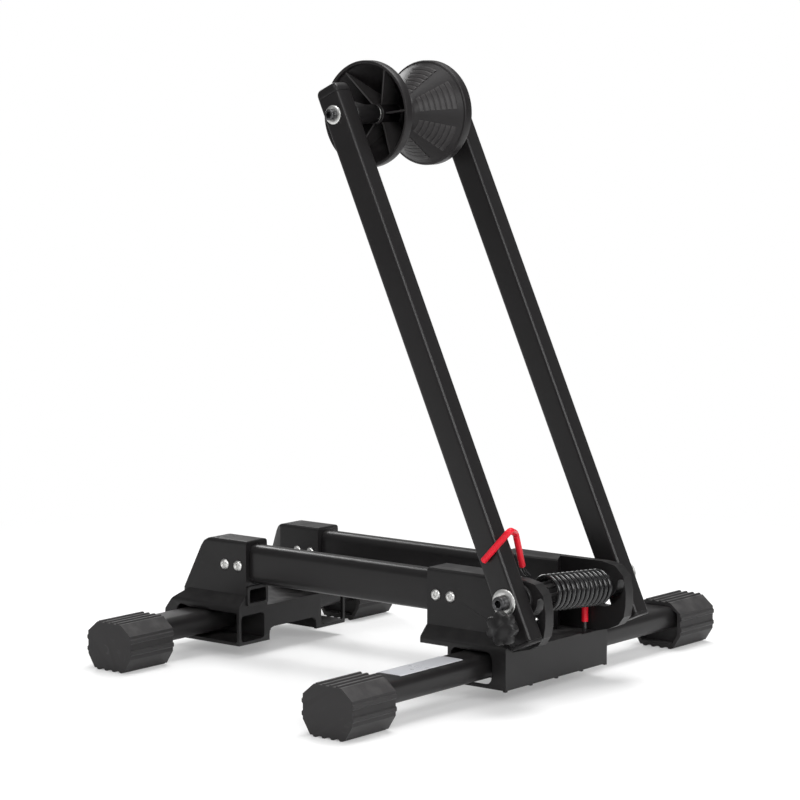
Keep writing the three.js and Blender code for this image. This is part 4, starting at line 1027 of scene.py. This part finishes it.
class STAND_OT_pivot(bpy.types.Operator):
    """Axle, bushes, ribbed core, washers and screws at the arms' pivot"""

    bl_idname = "stand.pivot"
    bl_label = "Pivot"
    bush_bore: length("Bush bore", "Bore of the bushes", 12.8 * MM)
    flange: length("Bush flange", "Flange of the bushes", 26 * MM)
    body_wall: length("Bush wall", "Wall of the bushes", 2.6 * MM)

    def bush(self, name, side):
        low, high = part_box(f"pivot_bush_{name}")
        inner, outer = (abs(high.y), abs(low.y)) if side < 0 else (low.y, high.y)
        face = outer - 3.35 * MM
        bore, body, rim = self.bush_bore / 2, self.bush_bore / 2 + self.body_wall, self.flange / 2
        profile = [
            (bore, inner), (body - 0.4 * MM, inner), (body, inner + 0.4 * MM), (body, face),
            (rim - 0.4 * MM, face), (rim, face + 0.4 * MM), (rim, outer - 0.5 * MM),
            (rim - 0.5 * MM, outer), (bore, outer),
        ]
        made = turned(f"{name}_bush", [(r, side * y) for r, y in profile], 64, loop=True)
        return place(made, AT_PIVOT)

    def core(self):
        low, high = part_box("spring_core")
        outer, bore, count = extent("spring_core").x / 2, self.bush_bore / 2, 96
        waist = outer - 2.2 * MM
        rings = []
        lead, chamfer = 0.6 * MM, 0.5 * MM
        rows = ((low.y, chamfer), (low.y + lead, 0), (high.y - lead, 0), (high.y, chamfer))
        for y, shrink in rows:
            ring = []
            for i in range(count):
                a = 2 * math.pi * i / count
                rib = 0.5 + 0.5 * math.cos(8 * a)
                r = waist + (outer - waist) * (rib > 0.82) - shrink
                ring.append(Vector((r * math.cos(a), y, r * math.sin(a))))
            rings.append(ring)
        rings += [circle(bore, high.y, count), circle(bore, low.y, count)]
        return place(loft("ribbed_core", rings, loop=True, angle=30.0), AT_PIVOT)

    def execute(self, context):
        axle = bored_axle("arm_axle", "pivot_axle", 6 * MM, 4.3 * MM, AT_PIVOT)
        finish_piece(axle, bright_zinc(), "arms", "zinc", "pivot_axle")
        finish_piece(self.core(), moulded_black(), "base", "moulded_black", "spring_core")
        for name, side in SIDES:
            finish_piece(
                self.bush(name, side), moulded_black(), "base", "moulded_black", f"pivot_bush_{name}"
            )
            washer = plain_ring(f"{name}_pivot_washer", f"pivot_washer_{name}", 8.6 * MM, PIVOT)
            finish_piece(washer, bright_zinc(), "arms", "zinc", f"pivot_washer_{name}")
            screw = socket_screw(
                f"{name}_pivot_screw", f"pivot_bolt_{name}", 13 * MM, 8 * MM, 6 * MM, PIVOT, side
            )
            finish_piece(screw, black_oxide(), "arms", "black_oxide", f"pivot_bolt_{name}")
        return {"FINISHED"}


class STAND_OT_roller_axle(bpy.types.Operator):
    """Axle, tapered spacers, thrust rings, washers and screws at the rollers"""

    bl_idname = "stand.roller_axle"
    bl_label = "Roller axle"

    def execute(self, context):
        axle = bored_axle("top_axle", "roller_axle", 5 * MM, 3.3 * MM, AT_ROLLERS)
        finish_piece(axle, bright_zinc(), "arms", "zinc", "roller_axle")
        for name, side in SIDES:
            low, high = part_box(f"roller_spacer_{name}")
            inner, outer = (abs(high.y), abs(low.y)) if side < 0 else (low.y, high.y)
            bore = 5.3 * MM
            profile = [
                (bore, inner), (8.1 * MM, inner), (8.5 * MM, inner + 0.4 * MM), (8.5 * MM, inner + 12 * MM),
                (11.5 * MM, outer - 6 * MM), (11.5 * MM, outer - 0.4 * MM), (11.1 * MM, outer), (bore, outer),
            ]
            spacer = turned(f"{name}_spacer", [(r, side * y) for r, y in profile], 64, loop=True)
            finish_piece(
                place(spacer, AT_ROLLERS), moulded_black(), "arms", "moulded_black", f"roller_spacer_{name}"
            )
            thrust = plain_ring(f"{name}_thrust_ring", f"roller_ring_{name}", 10.6 * MM, ROLLER_AXIS)
            finish_piece(thrust, bright_zinc(), "arms", "zinc", f"roller_ring_{name}")
            washer = plain_ring(f"{name}_roller_washer", f"roller_washer_{name}", 6.6 * MM, ROLLER_AXIS)
            finish_piece(washer, bright_zinc(), "arms", "zinc", f"roller_washer_{name}")
            screw = socket_screw(
                f"{name}_roller_screw", f"roller_bolt_{name}", 10 * MM, 6 * MM, 5 * MM, ROLLER_AXIS, side
            )
            finish_piece(screw, black_oxide(), "arms", "black_oxide", f"roller_bolt_{name}")
        return {"FINISHED"}


class STAND_OT_rollers(bpy.types.Operator):
    """The two cone rollers, with stepped sectors in front and ribs behind"""

    bl_idname = "stand.rollers"
    bl_label = "Rollers"
    radius: length("Rim radius", "Outer radius of the rim", 48 * MM)
    rim_inner: length("Rim start", "From the middle to the rim's start", 37.8 * MM)
    rim_width: length("Rim width", "Width of the rim", 10 * MM)
    nose: length("Nose", "Radius of the nose", 16 * MM)
    wall: length("Wall", "Wall of the cone", 3.6 * MM)
    steps: IntProperty(name="Steps", description="Steps in each sector", default=7)

    def cone_y(self, r):
        """Where the cone's face lies at a radius."""
        low_r, low_y = self.nose + 2 * MM, 5.6 * MM
        high_r, high_y = self.radius - 2.2 * MM, self.rim_inner + 0.1 * MM
        return low_y + (high_y - low_y) * (r - low_r) / (high_r - low_r)

    def body(self, name):
        bore, hub, outer_y = 5.4 * MM, 9.5 * MM, self.rim_inner + self.rim_width
        inside = self.radius - 2.8 * MM
        profile = [
            (bore, 1 * MM), (self.nose - 0.6 * MM, 1 * MM), (self.nose, 1.6 * MM),
            (self.nose + 0.6 * MM, 4 * MM), (self.nose + 2 * MM, 5.6 * MM),
            (self.radius - 2.2 * MM, self.cone_y(self.radius - 2.2 * MM)),
            (self.radius - 0.9 * MM, self.rim_inner + 0.5 * MM),
            (self.radius - 0.2 * MM, self.rim_inner + 1.3 * MM),
            (self.radius, self.rim_inner + 2.2 * MM), (self.radius, outer_y - 0.9 * MM),
            (self.radius - 0.3 * MM, outer_y - 0.2 * MM), (self.radius - 0.9 * MM, outer_y),
            (inside + 0.5 * MM, outer_y), (inside, outer_y - 0.5 * MM),
            (inside, self.rim_inner + self.wall + 1 * MM),
            (inside - 1 * MM, self.rim_inner + self.wall - 0.4 * MM),
            (self.nose + 3 * MM, 5 * MM + self.wall + 1 * MM),
            (hub + 1.5 * MM, 5 * MM + self.wall - 1.4 * MM),
            (hub, 5 * MM + self.wall), (hub, 32.6 * MM), (hub - 0.4 * MM, 33 * MM),
            (bore + 0.3 * MM, 33 * MM), (bore, 32.7 * MM),
        ]
        return turned(name, profile, 128, loop=True, angle=28.0)

    def step_sector(self, name, half_turn):
        """Stepped ridges on one sector of the cone."""
        pieces = []
        low, high = self.nose + 3.5 * MM, self.radius - 5 * MM
        pitch = (high - low) / self.steps
        arc = 12
        for i in range(self.steps):
            r0 = low + i * pitch
            r1 = r0 + pitch * 0.8
            rise = 1.3 * MM
            rings = []
            for k in range(arc + 1):
                a = -half_turn + 2 * half_turn * k / arc
                ring = []
                for r, up in ((r0, -0.3), (r0, 0.25), (r1 - 0.35 * MM, 0.98), (r1, 0.85), (r1, -0.3)):
                    ring.append(Vector((r * math.cos(a), self.cone_y(r) - up * rise, r * math.sin(a))))
                rings.append(ring)
            pieces.append(loft("step", rings, angle=25.0))
        return joined(name, pieces)

    def rib(self, name):
        """One radial rib behind the cone."""
        inside = self.radius - 2.6 * MM
        outline = [
            (8.8 * MM, 6.5 * MM), (self.nose + 2 * MM, 7.2 * MM), (inside, self.rim_inner + 1.8 * MM),
            (inside, self.rim_inner + 5.2 * MM), (inside - 3 * MM, self.rim_inner + 4.4 * MM),
            (12 * MM, 30 * MM), (8.8 * MM, 29.5 * MM),
        ]
        rings = [[Vector((r, y, z)) for r, y in outline] for z in (-0.8 * MM, 0.8 * MM)]
        return loft(name, rings, angle=25.0)

    def execute(self, context):
        tree = around_tree()
        count = sizes().roller_sectors
        for name, side in SIDES:
            turn = math.pi / 2 - ARM_LEAN
            half = math.pi / count * 0.62
            steps = worked(
                self.step_sector("steps", half), tree, Count=count,
                First_turn=turn + math.pi / count, Material=roller_plastic(),
            )
            ribs = worked(self.rib("ribs"), tree, Count=count, First_turn=turn, Material=roller_plastic())
            roller = joined(f"{name}_roller", [self.body("body"), steps, ribs])
            if side < 0:
                place(roller, Matrix.Rotation(math.pi, 4, "Z"))
            smooth(roller.data, 28.0)
            place(roller, AT_ROLLERS)
            finish_piece(roller, roller_plastic(), f"roller_{name}", "roller_plastic", f"roller_{name}")
        return {"FINISHED"}


class STAND_OT_spring(bpy.types.Operator):
    """The torsion spring in one wire, its hooked leg and the red sleeves"""

    bl_idname = "stand.spring"
    bl_label = "Spring"
    radius: length("Coil radius", "Mean radius of the coil", 14.8 * MM)
    near_y: length("Near end", "Where the coil starts", -34 * MM)
    far_y: length("Far end", "Where the coil ends", 50.5 * MM)
    sag: length("Sag", "How far the far turn hangs", 6.2 * MM)
    stub: length("Straight end", "Straight wire beside the coil", 8 * MM)
    bend: length("Bend", "How far a bend starts from its corner", 6 * MM)
    steps: IntProperty(name="Steps", description="Steps in each turn", default=36)

    def coil(self):
        total = sizes().coil_turns * self.steps
        points = [Vector((-self.radius, self.near_y, self.stub))]
        for i in range(total + 1):
            angle = math.pi + 2 * math.pi * i / self.steps
            share = i / total
            points.append(
                Vector((
                    self.radius * math.cos(angle),
                    self.near_y + (self.far_y - self.near_y) * share,
                    self.radius * math.sin(angle) - self.sag * share,
                ))
            )
        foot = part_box("torsion_spring")[0].z - PIVOT.z
        points.append(Vector((-self.radius, self.far_y, -self.sag - self.stub)))
        points.append(Vector((-self.radius, self.far_y, foot)))
        return points

    def hook_corners(self):
        """Corners of the hooked leg in the leaning arms' frame."""
        back = Matrix.Rotation(ARM_LEAN, 4, "Y")
        arm = middle("arm_near").y
        half = extent("arm_near").y / 2 + sizes().sleeve_diameter / 2
        inside, outside = arm + half + 0.6 * MM, arm - half - 0.3 * MM
        return [
            back @ Vector((-self.radius, self.near_y, self.stub)),
            back @ Vector((-self.radius, self.near_y, self.stub + 5 * MM)),
            Vector((-4.9, -44, 24.8)) * MM,
            Vector((18.4 * MM, inside, 54.3 * MM)),
            Vector((34 * MM, outside, 55 * MM)),
            Vector((-5.1 * MM, outside, 39.6 * MM)),
        ]

    def rounded(self, corners, bend, count=10):
        points = [corners[0]]
        for before, here, after in zip(corners, corners[1:], corners[2:]):
            back, on = before - here, after - here
            reach = min(bend, 0.45 * back.length, 0.45 * on.length)
            start, end = here + back.normalized() * reach, here + on.normalized() * reach
            for i in range(count + 1):
                t = i / count
                points.append(start * (1 - t) ** 2 + here * 2 * t * (1 - t) + end * t * t)
        points.append(corners[-1])
        return points

    def sleeve(self, name, points, tree):
        wall = (sizes().sleeve_diameter - sizes().wire_diameter) / 2 - 0.25 * MM
        tube = worked(
            path_curve(name, points), tree, Diameter=sizes().sleeve_diameter, Sides=28,
            Material=red_tubing(),
        )
        bm = bmesh.new()
        bm.from_mesh(tube.data)
        caps = [f for f in bm.faces if len(f.verts) > 4]
        bmesh.ops.delete(bm, geom=caps, context="FACES_ONLY")
        bmesh.ops.recalc_face_normals(bm, faces=bm.faces)
        bm.to_mesh(tube.data)
        bm.free()
        skin = tube.modifiers.new("Wall", "SOLIDIFY")
        skin.thickness = wall
        skin.offset = -1.0
        made = applied(tube)
        smooth(made.data, 50.0)
        return made

    def execute(self, context):
        tree = wire_tree()
        wire = sizes().wire_diameter
        coil = worked(
            path_curve("coil_spring", self.coil()), tree, Diameter=wire, Sides=16, Material=spring_coat()
        )
        smooth(coil.data, 50.0)
        place(coil, AT_PIVOT)
        dress(coil, spring_coat())
        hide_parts("torsion_spring")
        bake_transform(coil)
        corners = self.hook_corners()
        hook = worked(
            path_curve("hooked_leg", self.rounded(corners, self.bend)), tree, Diameter=wire, Sides=20,
            Material=spring_coat(),
        )
        smooth(hook.data, 50.0)
        finish_piece(place(hook, ARM_FRAME), spring_coat(), "spring_leg", "spring_black", "spring_hook")
        covered = [corner.copy() for corner in corners[2:]]
        covered[0] = covered[0].lerp(covered[1], 0.12)
        covered[-1] = covered[-1].lerp(covered[-2], 0.03)
        sleeve = self.sleeve("hook_tubing", self.rounded(covered, self.bend), tree)
        finish_piece(place(sleeve, ARM_FRAME), red_tubing(), "spring_leg", "red_sleeve", "hook_sleeve")
        low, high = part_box("base_leg_sleeve")
        at = middle("base_leg_sleeve")
        ends = [Vector((at.x, at.y, z)) for z in (low.z, low.z + 1 * MM, high.z - 1 * MM, high.z)]
        leg = self.sleeve("base_leg_tubing", ends, tree)
        finish_piece(leg, red_tubing(), "base", "red_sleeve", "base_leg_sleeve")
        return {"FINISHED"}


class STAND_OT_knob(bpy.types.Operator):
    """The star knob and its stud"""

    bl_idname = "stand.knob"
    bl_label = "Knob"
    diameter: length("Diameter", "Across the lobes", 31 * MM)
    lobe_depth: length("Lobe depth", "Depth between lobes", 3 * MM)
    stem: length("Stem", "Diameter of the stem", 13 * MM)

    def star(self, y, inset=0.0, roundness=0.0, count=140):
        ring = []
        for i in range(count):
            a = 2 * math.pi * i / count
            wave = 0.5 + 0.5 * math.cos(sizes().knob_lobes * a)
            r = self.diameter / 2 - self.lobe_depth * (1 - wave**0.7) * (1 - roundness) - inset
            ring.append(Vector((r * math.cos(a), y, r * math.sin(a))))
        return ring

    def execute(self, context):
        low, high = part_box("knob_head")
        under = high.y - 10 * MM
        front = under - 9 * MM
        stem = self.stem / 2
        rings = [
            circle(3.3 * MM, high.y, 140), circle(stem - 0.4 * MM, high.y, 140),
            circle(stem, high.y - 0.4 * MM, 140), circle(stem, under + 1.2 * MM, 140),
            circle(stem + 1 * MM, under, 140), self.star(under, 2 * MM),
            self.star(under - 0.5 * MM, 0.7 * MM),
            self.star(under - 1.6 * MM), self.star(front + 2.2 * MM), self.star(front + 0.9 * MM, 0.5 * MM),
            self.star(front + 0.15 * MM, 1.6 * MM), self.star(front, 3 * MM, 0.3),
            self.star(front - 0.2 * MM, 5 * MM, 0.8), circle(8 * MM, front - 1 * MM, 140),
            circle(6 * MM, front - 2.2 * MM, 140), circle(3.5 * MM, front - 3.1 * MM, 140),
            circle(1 * MM, low.y, 140),
        ]
        head = place(loft("star_knob", rings, angle=35.0), AT_KNOB)
        finish_piece(head, moulded_black(), "knob", "moulded_black", "knob_head")
        low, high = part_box("knob_stud")
        radius, pitch = extent("knob_stud").x / 2, 1 * MM
        profile = [(radius - 0.6 * MM, high.y), (radius, high.y - 0.6 * MM)]
        y = high.y - 1 * MM
        while y > low.y + 1 * MM:
            profile += [(radius, y), (radius - 0.45 * MM, y - pitch / 2)]
            y -= pitch
        profile.append((radius - 0.3 * MM, low.y))
        stud = place(turned("knob_thread", profile, 40), AT_KNOB)
        finish_piece(stud, bright_zinc(), "knob", "zinc", "knob_stud")
        return {"FINISHED"}


class STAND_OT_stage(bpy.types.Operator):
    """Pale floor, soft lamps and the camera"""

    bl_idname = "stand.stage"
    bl_label = "Stage"
    focal: FloatProperty(name="Lens", description="Focal length in millimetres", default=130.3)
    camera_at: FloatVectorProperty(
        name="Camera", description="Where the camera stands", default=(1.6624, -2.060, 0.555)
    )
    camera_aim: FloatVectorProperty(
        name="Aim", description="What the camera looks at", default=(0.0046, 0.0, 0.2471)
    )
    reach: length("Floor reach", "Half the width of the floor", 6.0)
    thickness: length("Floor thickness", "How thick the floor is", 20 * MM)
    gap: length("Floor gap", "Room between the floor and the feet", 0.2 * MM)

    def lamp(self, name, place_at, aim, size, power, stretch=1.0):
        data = bpy.data.lights.new(name, "AREA")
        data.shape = "RECTANGLE"
        data.size, data.size_y = size, size * stretch
        data.energy = power
        lamp = bpy.data.objects.new(name, data)
        bpy.context.scene.collection.objects.link(lamp)
        lamp.location = place_at
        lamp.rotation_mode = "QUATERNION"
        lamp.rotation_quaternion = (Vector(aim) - Vector(place_at)).to_track_quat("-Z", "Y")
        return lamp

    def white_room(self, context):
        world = bpy.data.worlds.new("White room")
        context.scene.world = world
        world.use_nodes = True
        tree = world.node_tree
        tree.nodes.clear()
        out = add_node(tree, "ShaderNodeOutputWorld")
        plain = add_node(tree, "ShaderNodeBackground")
        plain.inputs["Color"].default_value = (1, 1, 1, 1)
        plain.inputs["Strength"].default_value = 0.22
        seen = add_node(tree, "ShaderNodeBackground")
        seen.inputs["Color"].default_value = (1, 1, 1, 1)
        seen.inputs["Strength"].default_value = 1.0
        rays = add_node(tree, "ShaderNodeLightPath")
        mix = add_node(tree, "ShaderNodeMixShader")
        tree.links.new(rays.outputs["Is Camera Ray"], mix.inputs[0])
        tree.links.new(plain.outputs[0], mix.inputs[1])
        tree.links.new(seen.outputs[0], mix.inputs[2])
        tree.links.new(mix.outputs[0], out.inputs[0])

    def floor(self):
        corners = ((-1, -1), (1, -1), (1, 1), (-1, 1))
        rings = [
            [Vector((x * self.reach, y * self.reach, z)) for x, y in corners]
            for z in (-self.thickness, -self.gap)
        ]
        floor = loft("floor", rings)
        material = bpy.data.materials.new("Pale floor")
        material.use_nodes = True
        shader = material.node_tree.nodes["Principled BSDF"]
        shader.inputs["Base Color"].default_value = (0.85, 0.85, 0.85, 1)
        shader.inputs["Roughness"].default_value = 0.6
        shader.inputs["Specular IOR Level"].default_value = 0.2
        self.fade(material.node_tree, shader)
        floor.data.materials.append(material)

    def fade(self, tree, shader):
        """The floor runs out to the white of the room away from the stand."""
        place_of = add_node(tree, "ShaderNodeTexCoord")
        reach = add_node(tree, "ShaderNodeVectorMath", operation="LENGTH")
        ramp = add_node(tree, "ShaderNodeMapRange", interpolation_type="SMOOTHSTEP")
        ramp.inputs["From Min"].default_value = 0.42
        ramp.inputs["From Max"].default_value = 0.95
        ramp.inputs["To Min"].default_value = 0.3
        rays = add_node(tree, "ShaderNodeLightPath")
        where = add_node(tree, "ShaderNodeMath", operation="MULTIPLY")
        white = add_node(tree, "ShaderNodeEmission")
        mix = add_node(tree, "ShaderNodeMixShader")
        out = tree.nodes["Material Output"]
        tree.links.new(place_of.outputs["Object"], reach.inputs[0])
        tree.links.new(reach.outputs["Value"], ramp.inputs["Value"])
        tree.links.new(ramp.outputs["Result"], where.inputs[0])
        tree.links.new(rays.outputs["Is Camera Ray"], where.inputs[1])
        tree.links.new(where.outputs[0], mix.inputs[0])
        tree.links.new(shader.outputs[0], mix.inputs[1])
        tree.links.new(white.outputs[0], mix.inputs[2])
        tree.links.new(mix.outputs[0], out.inputs["Surface"])

    def execute(self, context):
        self.white_room(context)
        self.floor()
        self.lamp("Key lamp", (-0.6, -2.6, 2.4), (0, 0, 0.2), 1.1, 26.0)
        self.lamp("Front lamp", (2.8, -0.4, 1.5), (0, 0, 0.25), 0.7, 28.0, 1.8)
        self.lamp("Glint lamp", (2.4, -2.3, 1.9), (0, 0, 0.3), 1.1, 52.0, 1.3)
        self.lamp("Top lamp", (0.2, 0.6, 2.8), (0, 0, 0.1), 1.6, 74.0)
        self.lamp("Rear lamp", (-2.4, 1.4, 1.6), (0, 0, 0.25), 1.0, 30.0, 1.6)
        camera = bpy.data.objects.new("Camera", bpy.data.cameras.new("Camera"))
        context.scene.collection.objects.link(camera)
        camera.data.lens = self.focal
        camera.data.sensor_width = 36.0
        camera.data.clip_end = 50.0
        camera.location = self.camera_at
        sight = Vector(self.camera_aim) - camera.location
        camera.rotation_mode = "QUATERNION"
        camera.rotation_quaternion = sight.to_track_quat("-Z", "Y")
        context.scene.camera = camera
        context.scene.view_settings.view_transform = "Standard"
        return {"FINISHED"}


class STAND_PT_panel(bpy.types.Panel):
    """Lists the stand's pieces"""

    bl_label = "Floor stand"
    bl_idname = "STAND_PT_panel"
    bl_space_type = "VIEW_3D"
    bl_region_type = "UI"
    bl_category = "Floor stand"

    def draw(self, context):
        layout = self.layout
        for settings in (context.scene.stand_sizes, context.scene.stand_colours):
            for name in settings.__annotations__:
                layout.prop(settings, name)
        for operator in OPERATORS:
            layout.operator(operator.bl_idname)


OPERATORS = (
    STAND_OT_stage,
    STAND_OT_mouldings,
    STAND_OT_cross_tubes,
    STAND_OT_rails,
    STAND_OT_feet,
    STAND_OT_fasteners,
    STAND_OT_arms,
    STAND_OT_pivot,
    STAND_OT_roller_axle,
    STAND_OT_rollers,
    STAND_OT_spring,
    STAND_OT_knob,
)
CLASSES = (StandSizes, StandColours, *OPERATORS, STAND_PT_panel)


def register():
    for cls in CLASSES:
        bpy.utils.register_class(cls)
    bpy.types.Scene.stand_sizes = PointerProperty(type=StandSizes)
    bpy.types.Scene.stand_colours = PointerProperty(type=StandColours)


def unregister():
    del bpy.types.Scene.stand_colours
    del bpy.types.Scene.stand_sizes
    for cls in reversed(CLASSES):
        bpy.utils.unregister_class(cls)


def main():
    register()
    for operator in OPERATORS:
        group, call = operator.bl_idname.split(".")
        getattr(getattr(bpy.ops, group), call)()


if __name__ == "__main__":
    main()
